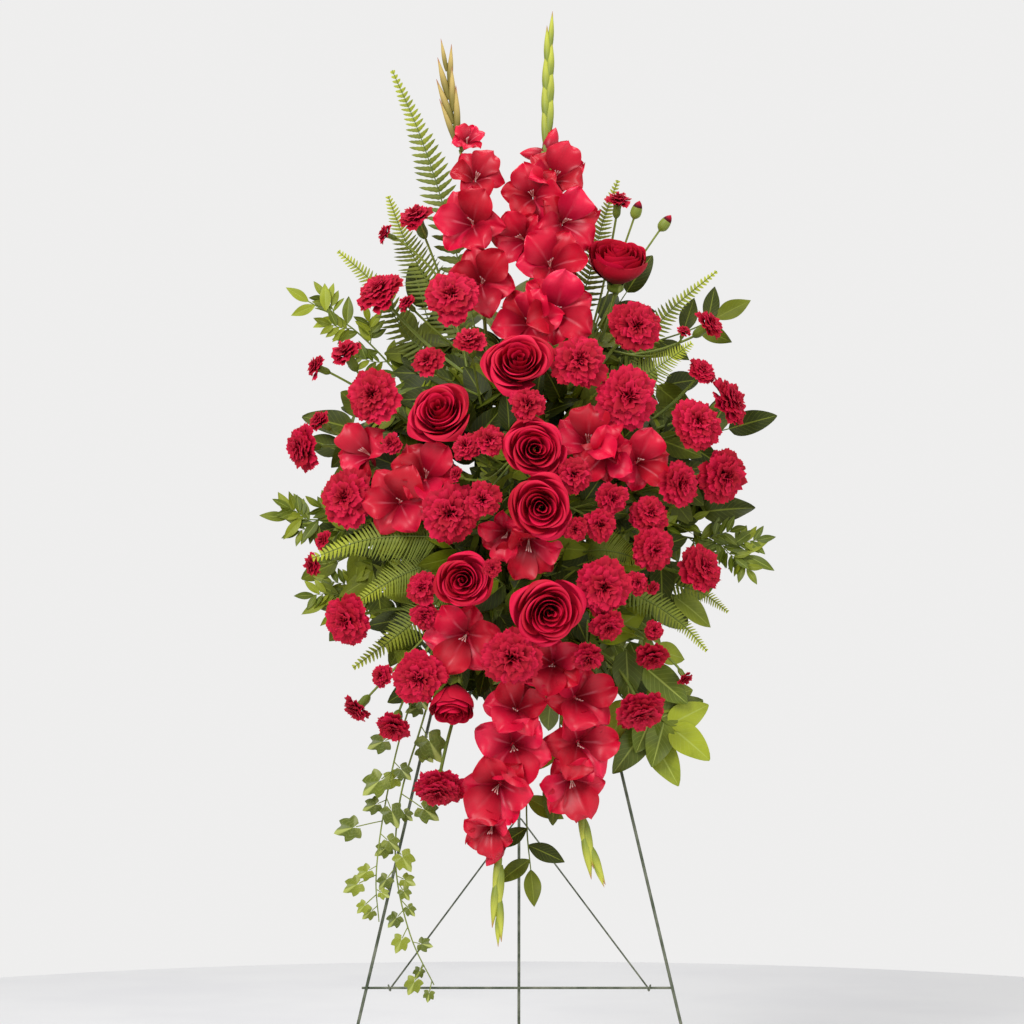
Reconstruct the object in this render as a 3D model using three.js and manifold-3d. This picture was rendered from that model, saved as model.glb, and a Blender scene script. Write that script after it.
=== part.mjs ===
// Standing funeral spray on a folding wire easel: gladioli, roses, carnations and spray carnations
// with fern, broad leaves, small-leaved sprigs and ivy, arranged in a soaked foam block that sits in a tray
// hung on the front of the easel. Millimetres, +Z up, the front faces -Y, the floor is at Z = 0.
import * as THREE from "three";
import { mergeVertices } from "three/addons/utils/BufferGeometryUtils.js";
import Module from "manifold-3d";

const wasm = await Module();
wasm.setup();

// Front view
const view = {
  mmPerPixel: 1.25, // real size of one pixel at the easel's plane
  centrePx: 512,
  centrePy: 512,
  eyeDistance: 5000,
  eyeHeight: 741,
  eyeX: -9, // the picture's middle, left of the easel's middle
};

// Easel
const easel = {
  footY: -200, // the front feet
  leanPerMm: 0.2117, // how far the front frame leans back for each mm of height
  legWire: 1.9, // radii
  barWire: 1.6,
  braceWire: 1.1,
  apexZ: 956, // where the front legs would meet
  crossbarZ: 166,
  crossbarHalf: 184.8, // half the width between the legs at the crossbar
  archHalf: 10, // half the width of the bend at the top
  hingeZ: 838,
  middleZ: 590,
  rearFootY: 262,
  hingeEye: 4.3, // mean radii of the eyes bent round the bars
  braceEye: 3.3,
  braceBend: 3.5, // the brace's round bend, which the back leg stands in
  braceHalf: 156, // the brace's eyes on the crossbar
  braceLead: 4, // how far the wire leaves an eye straight before it turns inwards
  braceTopZ: 343,
  facets: 6,
};

// Foam and tray
const foam = { x: 110, y: 80, z: 270, centreZ: 720, wall: 2.2, lip: 34, clear: 0.4, depth: 24 };
const holeRadius = 4.4;
const gap = 0.45; // clear space kept between plants of different nodes
const frondPairs = 8; // pairs of leaflets
const frondThick = 1;
const leafThick = 0.9;
const smallBelow = 45; // a leaf shorter than this many pixels is a sprig's
const budBelow = 20; // a floret with a smaller radius is still a bud

// Colours
const red = 0xb80d22;
const roseRed = 0xa50a20;
const gladRed = 0xc4152a;
const leafGreen = 0x4c6a22;
const fernGreen = 0x7f9a2e;
const budGreen = 0xa9b53c;
const easelGreen = 0x33402f;
const foamGreen = 0x3f5a35;
const trayGreen = 0x24351f;

// Flowers. px and py are a bloom's middle in the front view, out its distance in front of the easel's plane,
// r its radius, and face its direction: right, up and towards the viewer.
const roses = [
  { node: "rose_top", px: 617, py: 264, out: 92, r: 41, face: [0.05, 0.85, 0.5], cup: 1.25 },
  { node: "rose_upper", px: 519, py: 362, out: 188, r: 41, face: [0.02, 0.45, 0.88], cup: 1 },
  { node: "rose_left", px: 440, py: 412, out: 168, r: 41, face: [-0.15, 0.5, 0.82], cup: 1 },
  { node: "rose_middle", px: 535, py: 449, out: 208, r: 38, face: [0.1, 0.05, 1], cup: 1 },
  { node: "rose_heart", px: 541, py: 507, out: 214, r: 39, face: [0, -0.08, 1], cup: 1 },
  { node: "rose_lower_left", px: 463, py: 580, out: 192, r: 34, face: [-0.1, -0.08, 1], cup: 1 },
  { node: "rose_lower_right", px: 549, py: 612, out: 190, r: 42, face: [0.1, -0.15, 1], cup: 1 },
  { node: "rose_hanging", px: 453, py: 703, out: 128, r: 30, face: [-0.05, -0.8, 0.55], cup: 1.6 },
];
const carnations = [
  { node: "carnations_upper_left", px: 452, py: 296, out: 150, r: 34, face: [-0.1, 0.35, 0.92] },
  { node: "carnations_upper_left", px: 380, py: 293, out: 92, r: 31, face: [-0.5, 0.65, 0.55] },
  { node: "carnations_upper_right", px: 635, py: 327, out: 122, r: 32, face: [0.25, 0.15, 0.95] },
  { node: "carnations_upper_right", px: 579, py: 362, out: 172, r: 34, face: [0.15, 0.3, 0.93] },
  { node: "carnations_upper_right", px: 627, py: 397, out: 160, r: 38, face: [0.2, 0.1, 0.97] },
  { node: "carnations_left", px: 374, py: 396, out: 140, r: 34, face: [-0.3, 0.2, 0.93] },
  { node: "carnations_left", px: 303, py: 448, out: 72, r: 29, face: [-0.82, -0.1, 0.55] },
  { node: "carnations_left", px: 347, py: 499, out: 118, r: 35, face: [-0.35, 0.15, 0.92] },
  { node: "carnations_right", px: 696, py: 424, out: 118, r: 32, face: [0.3, 0.3, 0.9] },
  { node: "carnations_right", px: 729, py: 402, out: 76, r: 30, face: [0.8, 0.35, 0.45] },
  { node: "carnations_right", px: 702, py: 371, out: 74, r: 19, face: [0.45, 0.65, 0.6] },
  { node: "carnations_right_low", px: 722, py: 476, out: 88, r: 34, face: [0.55, -0.1, 0.83] },
  { node: "carnations_right_low", px: 679, py: 484, out: 132, r: 29, face: [0.62, 0.05, 0.78] },
  { node: "carnations_right_low", px: 701, py: 568, out: 92, r: 31, face: [0.62, 0.3, 0.72] },
  { node: "carnation_centre", px: 450, py: 514, out: 184, r: 36, face: [-0.12, 0, 1] },
  { node: "carnations_lower_right", px: 649, py: 515, out: 140, r: 25, face: [0.3, 0.4, 0.86] },
  { node: "carnations_lower_right", px: 653, py: 550, out: 146, r: 27, face: [0.35, -0.15, 0.92] },
  { node: "carnations_lower_right", px: 603, py: 587, out: 172, r: 33, face: [0.15, -0.05, 1] },
  { node: "carnations_lower_left", px: 348, py: 620, out: 96, r: 31, face: [-0.4, -0.2, 0.88] },
  { node: "carnations_lower_left", px: 420, py: 678, out: 134, r: 34, face: [-0.2, -0.2, 0.95] },
  { node: "carnation_low_centre", px: 512, py: 657, out: 172, r: 35, face: [0, -0.1, 1] },
  { node: "carnation_low_right", px: 640, py: 712, out: 102, r: 31, face: [0.2, -0.72, 0.66] },
  { node: "carnation_low_left", px: 438, py: 788, out: 78, r: 31, face: [-0.1, -0.72, 0.66] },
];
const minis = [
  { node: "spray_top_left", px: 416, py: 218, out: 74, r: 23, face: [-0.35, 0.75, 0.5] },
  { node: "spray_top_left", px: 385, py: 234, out: 62, r: 12, face: [-0.9, 0.35, 0.3] },
  { node: "spray_top_left", px: 407, py: 303, out: 112, r: 12, face: [-0.6, 0.6, 0.5] },
  { node: "spray_upper_left", px: 470, py: 340, out: 172, r: 20, face: [-0.1, 0.75, 0.65] },
  { node: "spray_upper_left", px: 428, py: 362, out: 150, r: 20, face: [-0.3, 0.45, 0.85] },
  { node: "spray_top_right", px: 618, py: 201, out: 60, r: 17, face: [0.1, 0.9, 0.4] },
  { node: "spray_top_right", px: 634, py: 218, out: 66, r: 7, face: [0.3, 0.9, 0.3], bud: true },
  { node: "spray_top_right", px: 660, py: 230, out: 58, r: 7, face: [0.6, 0.8, 0.2], bud: true },
  { node: "spray_top_right", px: 709, py: 325, out: 62, r: 20, face: [0.7, 0.5, 0.5] },
  { node: "spray_top_right", px: 684, py: 331, out: 84, r: 9, face: [0.3, 0.8, 0.5] },
  { node: "spray_centre", px: 528, py: 405, out: 212, r: 22, face: [0, 0.3, 0.95] },
  { node: "spray_centre", px: 466, py: 447, out: 198, r: 18, face: [-0.35, 0.4, 0.85] },
  { node: "spray_centre", px: 489, py: 441, out: 208, r: 19, face: [0.15, 0.35, 0.92] },
  { node: "spray_centre", px: 482, py: 500, out: 216, r: 22, face: [0.1, 0.1, 1] },
  { node: "spray_centre", px: 456, py: 474, out: 206, r: 10, face: [-0.7, 0.35, 0.6] },
  { node: "spray_heart_right", px: 574, py: 475, out: 198, r: 22, face: [0.1, 0.1, 1] },
  { node: "spray_heart_right", px: 612, py: 499, out: 178, r: 20, face: [0.25, 0.05, 0.96] },
  { node: "spray_heart_right", px: 576, py: 529, out: 200, r: 15, face: [-0.1, -0.2, 0.97] },
  { node: "spray_heart_right", px: 600, py: 524, out: 190, r: 20, face: [0.15, -0.15, 0.97] },
  { node: "spray_left", px: 346, py: 353, out: 88, r: 21, face: [-0.45, 0.75, 0.45] },
  { node: "spray_left", px: 316, py: 367, out: 66, r: 15, face: [-0.85, 0.35, 0.4] },
  { node: "spray_left", px: 391, py: 444, out: 150, r: 14, face: [-0.5, 0.3, 0.8] },
  { node: "spray_left", px: 319, py: 421, out: 84, r: 15, face: [-0.7, 0.55, 0.45] },
  { node: "spray_left", px: 323, py: 540, out: 80, r: 12, face: [-0.7, 0.3, 0.65] },
  { node: "spray_left", px: 313, py: 565, out: 70, r: 15, face: [-0.85, -0.1, 0.5] },
  { node: "spray_lower_left", px: 423, py: 588, out: 162, r: 20, face: [-0.3, 0.1, 0.95] },
  { node: "spray_lower_left", px: 425, py: 616, out: 148, r: 18, face: [-0.3, -0.3, 0.9] },
  { node: "spray_lower_left", px: 492, py: 568, out: 214, r: 12, face: [0.1, 0.1, 1] },
  { node: "spray_lower_left", px: 382, py: 676, out: 98, r: 14, face: [-0.5, 0.1, 0.85] },
  { node: "spray_lower_left", px: 357, py: 709, out: 64, r: 18, face: [-0.6, -0.65, 0.45] },
  { node: "spray_lower_left", px: 394, py: 727, out: 84, r: 21, face: [-0.2, -0.65, 0.72] },
  { node: "spray_lower_right", px: 637, py: 583, out: 160, r: 14, face: [0.3, 0.1, 0.95] },
  { node: "spray_lower_right", px: 653, py: 588, out: 152, r: 9, face: [0.6, -0.3, 0.75] },
  { node: "spray_lower_right", px: 608, py: 626, out: 162, r: 20, face: [0.15, -0.5, 0.85] },
  { node: "spray_lower_right", px: 588, py: 657, out: 154, r: 20, face: [0.05, -0.6, 0.8] },
  { node: "spray_low_right", px: 654, py: 630, out: 120, r: 12, face: [0.2, 0.1, 0.97] },
  { node: "spray_low_right", px: 652, py: 656, out: 112, r: 21, face: [0.2, -0.7, 0.65] },
  { node: "spray_low_right", px: 685, py: 678, out: 84, r: 11, face: [0.5, -0.75, 0.4] },
];
// Gladiolus spikes. stem runs from near the foam to the tip; each floret stands off it.
const spikes = [
  {
    node: "gladiolus_top_left", tip: "gladiolus_top_left_tip",
    stem: [[490, 372, 76], [482, 290, 74], [468, 180, 70], [460, 150, 68]],
    end: [[459, 147, 68], [450, 100, 66], [446, 44, 64]],
    florets: [[480, 281, 118, 38, [-0.05, 0.1, 1]], [468, 222, 104, 38, [-0.2, 0.1, 0.95]],
      [477, 174, 92, 29, [0.15, 0.35, 0.9]], [469, 138, 80, 18, [0.2, 0.5, 0.8]]],
  },
  {
    node: "gladiolus_top_right", tip: "gladiolus_top_right_tip",
    stem: [[532, 372, 76], [538, 290, 76], [546, 190, 74], [547, 152, 72]],
    end: [[547, 148, 72], [548, 88, 70], [550, 14, 68]],
    florets: [[526, 322, 120, 36, [-0.2, 0.1, 0.95]], [558, 310, 128, 40, [0.15, 0.05, 1]],
      [553, 262, 118, 38, [0.1, 0.2, 0.95]], [518, 238, 104, 32, [-0.4, 0.1, 0.9]],
      [569, 222, 106, 36, [0.35, 0.05, 0.92]], [532, 193, 100, 33, [-0.1, 0.2, 0.95]],
      [558, 173, 90, 33, [0.25, 0.35, 0.88]], [533, 154, 74, 10, [-0.3, 0.9, 0.3]],
      [557, 124, 72, 11, [0.35, 0.9, 0.2]]],
  },
  {
    node: "gladiolus_bottom_left", tip: "gladiolus_bottom_left_tip",
    stem: [[512, 666, 58], [512, 706, 50], [508, 800, 40], [502, 846, 34]],
    end: [[501, 850, 34], [498, 890, 34], [500, 942, 34]],
    florets: [[517, 706, 110, 34, [0, 0.25, 0.95]], [513, 747, 98, 46, [0, -0.05, 1]],
      [497, 790, 84, 40, [-0.1, -0.2, 0.97]], [489, 832, 68, 27, [-0.2, -0.35, 0.9]],
      [485, 868, 46, 11, [-0.2, -0.95, 0.2]]],
  },
  {
    node: "gladiolus_bottom_right", tip: "gladiolus_bottom_right_tip",
    stem: [[554, 672, 58], [566, 706, 50], [576, 780, 40], [580, 802, 38]],
    end: [[581, 806, 38], [587, 840, 38], [604, 882, 38]],
    florets: [[552, 663, 132, 34, [-0.05, 0.05, 1]],
      [582, 696, 106, 38, [0.3, 0.1, 0.95]], [583, 744, 88, 39, [0.2, -0.05, 0.97]],
      [571, 785, 74, 35, [0, -0.3, 0.95]], [577, 818, 42, 8, [0, -0.97, 0.2]]],
  },
  {
    node: "gladiolus_left",
    stem: [[470, 500, 122], [420, 492, 108], [372, 466, 84]],
    florets: [[424, 472, 152, 35, [-0.05, 0.35, 0.93]], [397, 503, 146, 38, [-0.1, 0, 1]],
      [360, 451, 110, 32, [-0.6, 0.3, 0.75]]],
  },
  {
    node: "gladiolus_right",
    stem: [[562, 470, 122], [600, 462, 108], [646, 446, 92]],
    florets: [[588, 437, 160, 36, [0, 0.4, 0.92]], [606, 457, 152, 32, [0.1, -0.1, 1]],
      [641, 462, 138, 34, [0.2, 0.05, 0.97]]],
  },
  {
    node: "gladiolus_centre",
    stem: [[524, 530, 108], [518, 548, 126]],
    florets: [[530, 550, 176, 33, [0.05, -0.6, 0.8]], [503, 536, 178, 27, [-0.3, -0.3, 0.9]]],
  },
  {
    node: "gladiolus_lower_left",
    stem: [[490, 590, 120], [474, 622, 112], [468, 640, 96]],
    florets: [[463, 637, 148, 40, [-0.15, -0.1, 0.98]]],
  },
];
// Fern fronds: a path from near the foam to the tip, and half the width in pixels.
const fronds = [
  { node: "fern_upper_left", path: [[478, 342, 34], [446, 215, 20], [418, 130, 20], [392, 70, 20]], wide: 19 },
  { node: "fern_upper_left", path: [[466, 350, 38], [432, 290, 26], [405, 240, 28], [388, 196, 30]], wide: 21 },
  { node: "fern_upper_left", path: [[458, 372, 44], [412, 340, 34], [372, 282, 34], [338, 251, 34]], wide: 18 },
  { node: "fern_upper_right", path: [[562, 350, 30], [588, 280, 22], [602, 225, 22], [618, 180, 22]], wide: 17 },
  { node: "fern_upper_right", path: [[584, 370, 34], [636, 345, 28], [676, 305, 26], [717, 271, 26]], wide: 15 },
  { node: "fern_upper_right", path: [[592, 396, 50], [630, 384, 84], [662, 364, 98], [692, 343, 96]], wide: 21 },
  { node: "fern_lower_left", path: [[446, 540, 116], [412, 536, 124], [365, 540, 116], [312, 558, 100]], wide: 25 },
  { node: "fern_lower_left", path: [[446, 562, 104], [424, 566, 106], [392, 580, 100], [355, 603, 88]], wide: 24 },
  { node: "fern_lower_left", path: [[446, 590, 84], [430, 608, 76], [396, 636, 64], [353, 668, 50]], wide: 21 },
  { node: "fern_lower_right", path: [[584, 552, 116], [600, 550, 134], [620, 553, 136], [645, 562, 126]], wide: 22 },
  { node: "fern_lower_right", path: [[592, 572, 92], [640, 596, 88], [680, 622, 78], [707, 651, 68]], wide: 15 },
  { node: "fern_lower_right", path: [[596, 560, 56], [650, 580, 44], [700, 592, 38], [728, 612, 34]], wide: 15 },
];
// Leafy branches: a path, the leaves' length and width in pixels, how many there are and where they begin.
const branches = [
  { node: "trailing_branch", path: [[528, 676, 14], [527, 740, 10], [527, 830, 12], [531, 872, 12]],
    long: 42, wide: 20, count: 5, from: 0.64, spread: 60 },
  { node: "leaves_centre", path: [[508, 596, 100], [496, 566, 122], [506, 540, 130]],
    long: 42, wide: 25, count: 3, from: 0.35, spread: 60 },
  { node: "leaves_centre", path: [[500, 602, 100], [470, 566, 106], [438, 546, 108]],
    long: 42, wide: 25, count: 4, from: 0.4, spread: 58 },
  { node: "leaves_centre", path: [[520, 602, 100], [542, 584, 104], [564, 574, 102]],
    long: 42, wide: 25, count: 3, from: 0.4, spread: 58 },
  { node: "leaves_lower_right", path: [[590, 652, 46], [616, 690, 44], [640, 716, 40], [652, 738, 38]],
    long: 62, wide: 34, count: 5, from: 0.42, spread: 62 },
  { node: "leaves_lower_right", path: [[590, 640, 64], [620, 646, 76], [646, 668, 72]],
    long: 58, wide: 34, count: 3, from: 0.4, spread: 50 },
  { node: "leaves_lower_right", path: [[562, 668, 30], [560, 724, 16], [556, 776, 14]],
    long: 54, wide: 26, count: 3, from: 0.56, spread: 55 },
  { node: "leaves_right", path: [[590, 504, 24], [656, 516, 14], [704, 512, 14]],
    long: 58, wide: 34, count: 4, from: 0.45, spread: 60 },
  { node: "leaves_right", path: [[590, 490, 20], [664, 446, 10], [732, 428, 18]],
    long: 54, wide: 28, count: 4, from: 0.6, spread: 50 },
  { node: "leaves_right", path: [[590, 516, 20], [680, 536, 10], [730, 546, 20], [748, 556, 20]],
    long: 32, wide: 11, count: 6, from: 0.58, spread: 58 },
  { node: "leaves_upper_right", path: [[566, 398, 24], [630, 352, 10], [690, 330, 8], [716, 318, 10]],
    long: 42, wide: 20, count: 6, from: 0.5, spread: 52 },
  { node: "leaves_upper_right", path: [[560, 390, 40], [600, 332, 20], [628, 290, 14]],
    long: 50, wide: 28, count: 3, from: 0.55, spread: 52 },
  { node: "leaves_upper_left", path: [[446, 426, 20], [436, 350, 8], [424, 306, 8]],
    long: 52, wide: 30, count: 3, from: 0.5, spread: 54 },
  { node: "leaves_upper_left", path: [[440, 434, 16], [396, 372, 4], [352, 328, 10], [306, 300, 10]],
    long: 30, wide: 12, count: 10, from: 0.48, spread: 56 },
  { node: "leaves_left", path: [[440, 470, 30], [396, 440, 16], [350, 428, 14]],
    long: 56, wide: 32, count: 4, from: 0.5, spread: 56 },
  { node: "leaves_left", path: [[440, 500, 26], [380, 520, 14], [320, 520, 14], [286, 518, 14]],
    long: 32, wide: 12, count: 9, from: 0.5, spread: 56 },
  { node: "leaves_left", path: [[440, 552, 26], [400, 588, 14], [350, 590, 14], [326, 602, 14]],
    long: 30, wide: 11, count: 6, from: 0.62, spread: 56 },
];
const ivy = {
  node: "ivy",
  vines: [
    { path: [[440, 646, 44], [410, 706, 42], [386, 800, 34], [376, 880, 32], [379, 922, 32]],
      leaves: [[382, 742, 24], [378, 782, 30], [352, 828, 28], [392, 812, 26], [356, 885, 22], [364, 906, 15]] },
    { path: [[446, 652, 38], [420, 730, 30], [400, 800, 24], [396, 870, 22], [412, 940, 22], [434, 985, 22]],
      leaves: [[430, 742, 34], [425, 810, 26], [403, 858, 24], [386, 880, 18], [404, 892, 15], [409, 909, 14],
        [401, 941, 20], [414, 983, 20], [429, 994, 13]] },
  ],
};

// Places and directions
const V = (x, y, z) => new THREE.Vector3(x, y, z);
const UP = V(0, 0, 1);
const frameY = (z) => easel.footY + easel.leanPerMm * z;

// The point seen at a pixel of the front view, at a distance in front of the easel's plane.
function seen(px, py, out) {
  let y = -out;
  let z = view.eyeHeight;
  for (let pass = 0; pass < 4; pass++) {
    const scale = (view.mmPerPixel * (view.eyeDistance + y)) / view.eyeDistance;
    z = view.eyeHeight + (view.centrePy - py) * scale;
    y = frameY(z) - out;
  }
  const scale = (view.mmPerPixel * (view.eyeDistance + y)) / view.eyeDistance;
  return V(view.eyeX + (px - view.centrePx) * scale, y, z);
}
const facing = (face) => V(face[0], -face[2], face[1]).normalize();

// A small seeded generator, so that every build is the same.
function draws(seed) {
  let state = seed >>> 0;
  return () => {
    state = (state * 1664525 + 1013904223) >>> 0;
    return state / 4294967296;
  };
}

// Solids
function toSolid(geometry) {
  const bare = geometry.clone();
  bare.deleteAttribute("normal");
  bare.deleteAttribute("uv");
  const merged = mergeVertices(bare, 1e-4);
  const kept = [];
  const index = merged.index.array;
  for (let i = 0; i < index.length; i += 3) {
    const [a, b, c] = [index[i], index[i + 1], index[i + 2]];
    if (a !== b && b !== c && a !== c) kept.push(a, b, c);
  }
  return new wasm.Manifold(
    new wasm.Mesh({
      numProp: 3,
      vertProperties: new Float32Array(merged.attributes.position.array),
      triVerts: new Uint32Array(kept),
    }),
  );
}

function toGeometry(solid) {
  const mesh = solid.getMesh();
  const positions = new Float32Array(mesh.numVert * 3);
  for (let i = 0; i < mesh.numVert; i++) {
    positions.set(mesh.vertProperties.subarray(i * mesh.numProp, i * mesh.numProp + 3), i * 3);
  }
  const geometry = new THREE.BufferGeometry();
  geometry.setAttribute("position", new THREE.BufferAttribute(positions, 3));
  geometry.setIndex(new THREE.BufferAttribute(new Uint32Array(mesh.triVerts), 1));
  return geometry;
}

function fromTriangles(points, triangles) {
  const geometry = new THREE.BufferGeometry().setFromPoints(points);
  geometry.setIndex(triangles.flat());
  return geometry;
}

// A closed surface through rings of points, from a first point to a last one. A ring may hold as many points
// as the ring before it, twice as many, or half as many.
function ringSolid(first, rings, last) {
  const points = [first, ...rings.flat(), last];
  const starts = rings.map((_, k) => 1 + rings.slice(0, k).reduce((sum, ring) => sum + ring.length, 0));
  const at = (k, i) => starts[k] + (((i % rings[k].length) + rings[k].length) % rings[k].length);
  const triangles = [];
  rings[0].forEach((_, i) => triangles.push([0, at(0, i + 1), at(0, i)]));
  for (let k = 0; k + 1 < rings.length; k++) {
    const [below, above] = [rings[k].length, rings[k + 1].length];
    for (let i = 0; i < Math.min(below, above); i++) {
      if (below === above) {
        triangles.push([at(k, i), at(k, i + 1), at(k + 1, i + 1)], [at(k, i), at(k + 1, i + 1), at(k + 1, i)]);
      } else if (above > below) {
        triangles.push([at(k, i), at(k + 1, 2 * i + 1), at(k + 1, 2 * i)]);
        triangles.push([at(k, i), at(k, i + 1), at(k + 1, 2 * i + 1)]);
        triangles.push([at(k, i + 1), at(k + 1, 2 * i + 2), at(k + 1, 2 * i + 1)]);
      } else {
        triangles.push([at(k, 2 * i), at(k, 2 * i + 1), at(k + 1, i)]);
        triangles.push([at(k, 2 * i + 1), at(k + 1, i + 1), at(k + 1, i)]);
        triangles.push([at(k, 2 * i + 1), at(k, 2 * i + 2), at(k + 1, i + 1)]);
      }
    }
  }
  const top = rings.length - 1;
  rings[top].forEach((_, i) => triangles.push([at(top, i), at(top, i + 1), points.length - 1]));
  return fromTriangles(points, triangles);
}

// The rings of a round stem or wire through points, with a radius at each, square to the mean direction there.
// last gives the direction in which the end leaves.
function tubeRings(points, radii, sides, last) {
  let across = null;
  const rings = points.map((point, k) => {
    const before = point.clone().sub(points[Math.max(0, k - 1)]).normalize();
    const next = k + 1 < points.length ? points[k + 1].clone().sub(point).normalize() : V(0, 0, 0);
    const after = last && k + 1 === points.length ? last : next;
    const along = before.clone().add(after).normalize();
    if (!across) across = Math.abs(along.x) < 0.9 ? V(1, 0, 0) : V(0, 1, 0);
    const u = across.clone().sub(along.clone().multiplyScalar(across.dot(along))).normalize();
    const v = along.clone().cross(u);
    across = u;
    const inner = before.lengthSq() > 0.5 && after.lengthSq() > 0.5;
    const bendWay = after.clone().sub(before);
    const stretch = inner ? 1 / Math.max(0.6, before.dot(along)) : 1;
    return Array.from({ length: sides }, (_, i) => {
      const turn = (2 * Math.PI * i) / sides;
      const arm = u.clone().multiplyScalar(Math.cos(turn)).addScaledVector(v, Math.sin(turn));
      arm.multiplyScalar(radii[k]);
      if (inner && bendWay.lengthSq() > 1e-6) {
        const way = bendWay.clone().normalize();
        arm.addScaledVector(way, arm.dot(way) * (stretch - 1));
      }
      return point.clone().add(arm);
    });
  });
  return { rings, across };
}

function tubeAlong(points, radii, sides) {
  const { rings } = tubeRings(points, radii, sides);
  return toSolid(ringSolid(points[0], rings, points[points.length - 1]));
}

// Moves a shape drawn round +Z so that +Z points along a direction at a place.
function stand(geometry, place, direction, roll = 0) {
  const turn = new THREE.Quaternion().setFromUnitVectors(UP, direction);
  turn.multiply(new THREE.Quaternion().setFromAxisAngle(UP, roll));
  return geometry.applyMatrix4(new THREE.Matrix4().compose(place, turn, V(1, 1, 1)));
}

// Blooms, each drawn round +Z with a radius of 1 times r

// Ruffled heads. Each ring gives its radius, its height, and how much its edge zigzags out and up; a ring
// that zigzags has twice the points of one that doesn't. stemSides is the stem's number of sides.
const carnationHead = { sides: 5, stemSides: 5, deep: 0.62, top: 0.5, rings: [
  [0.24, -0.5, 0, 0], [0.94, -0.08, 0.08, 0.11], [0.54, 0.02, 0, 0], [0.7, 0.3, 0.12, 0.1], [0.3, 0.24, 0, 0],
] };
const miniHead = { sides: 4, stemSides: 4, deep: 0.8, top: 0.5, rings: [
  [0.3, -0.66, 0, 0], [0.93, 0, 0.1, 0.16], [0.5, 0.16, 0, 0],
] };
const roseHead = { sides: 6, stemSides: 3, deep: 0.7, top: 0.5, rings: [
  [0.62, -0.5, 0, 0], [0.96, 0.08, 0.05, 0.06], [0.66, 0, 0, 0], [0.72, 0.28, 0.07, 0.05],
  [0.42, 0.12, 0, 0], [0.42, 0.42, 0.09, 0.04],
] };

// A head on its own stem: the stem's rings run on into the head's, which faces a direction.
function bloomOnStem({ rings, sides, stemSides, deep, top }, r, tall, seed, place, face, stem, radii) {
  const end = place.clone().addScaledVector(face, -r * tall * deep);
  const tube = tubeRings([...stem, end], radii, stemSides, face);
  const draw = draws(seed);
  const v = face.clone().cross(tube.across).normalize();
  const u = v.clone().cross(face);
  const rows = rings.map(([radius, height, zig, lift]) => {
    const count = zig ? 2 * sides : sides;
    return Array.from({ length: count }, (_, i) => {
      const sign = zig ? (i % 2 ? -1 : 1) : 0;
      const loose = zig ? 1 + 0.08 * (draw() - 0.5) : 1;
      const turn = (2 * Math.PI * i) / count;
      const reach = r * radius * (1 + sign * zig) * loose;
      return place.clone()
        .addScaledVector(u, Math.cos(turn) * reach)
        .addScaledVector(v, Math.sin(turn) * reach)
        .addScaledVector(face, r * tall * (height + sign * lift));
    });
  });
  const tip = place.clone().addScaledVector(face, r * tall * top);
  return ringSolid(stem[0], [...tube.rings, ...rows], tip);
}

// A gladiolus floret: a tube from the stem that opens into six pointed, waved lobes, facing a direction.
const lobes = 6;
function floret(r, place, face, foot, roll) {
  const ring = (count, reachOf, heightOf) => Array.from({ length: count }, (_, i) => {
    const turn = (2 * Math.PI * i) / count;
    return V(Math.cos(turn) * reachOf(i) * r, Math.sin(turn) * reachOf(i) * r, heightOf(i) * r);
  });
  const rows = [
    ring(lobes, () => 0.34, () => -0.38),
    ring(2 * lobes, (i) => (i % 2 ? 0.66 : 1), (i) => (i % 4 ? (i % 2 ? 0.04 : -0.08) : 0.14)),
    ring(lobes, () => 0.34, () => -0.12),
  ];
  const turn = new THREE.Quaternion().setFromUnitVectors(UP, face);
  turn.multiply(new THREE.Quaternion().setFromAxisAngle(UP, roll));
  const move = (p) => p.applyQuaternion(turn).add(place);
  return ringSolid(foot, rows.map((row) => row.map(move)), move(V(0, 0, -0.46 * r)));
}

// A closed bud or sheath, drawn along +Z from its foot.
function budShape(r, long, sides = 4) {
  const rows = [[0.7, 0.12], [1, 0.45]].map(([radius, height]) =>
    Array.from({ length: sides }, (_, i) => {
      const turn = (2 * Math.PI * i) / sides;
      return V(Math.cos(turn) * r * radius, Math.sin(turn) * r * radius, long * height);
    }),
  );
  return ringSolid(V(0, 0, 0), rows, V(0, 0, long));
}

// Blades. A blade is one thin plate: a rib along a curve, with leaves or leaflets that grow from its edges.
function ribAlong(curve, shares, halves, faceTo) {
  const points = [];
  const triangles = [];
  shares.forEach((share, k) => {
    const middle = curve.getPoint(share);
    const across = curve.getTangent(share).cross(faceTo).normalize();
    points.push(middle.clone().addScaledVector(across, -halves[k]), middle.clone().addScaledVector(across, halves[k]));
    if (k > 0) {
      const [l0, r0, l1, r1] = [2 * k - 2, 2 * k - 1, 2 * k, 2 * k + 1];
      triangles.push([l0, r0, r1], [l0, r1, l1]);
    }
  });
  return { points, triangles, faceTo };
}

// Adds a leaf that starts at one of the rib's edges; its outline runs on from the edge's first point.
function growLeaf(blade, first, outline, last) {
  const start = blade.points.length;
  blade.points.push(...outline);
  const ring = [first, ...outline.map((_, i) => start + i), last];
  for (let i = 1; i + 1 < ring.length; i++) blade.triangles.push([ring[0], ring[i], ring[i + 1]]);
}

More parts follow.
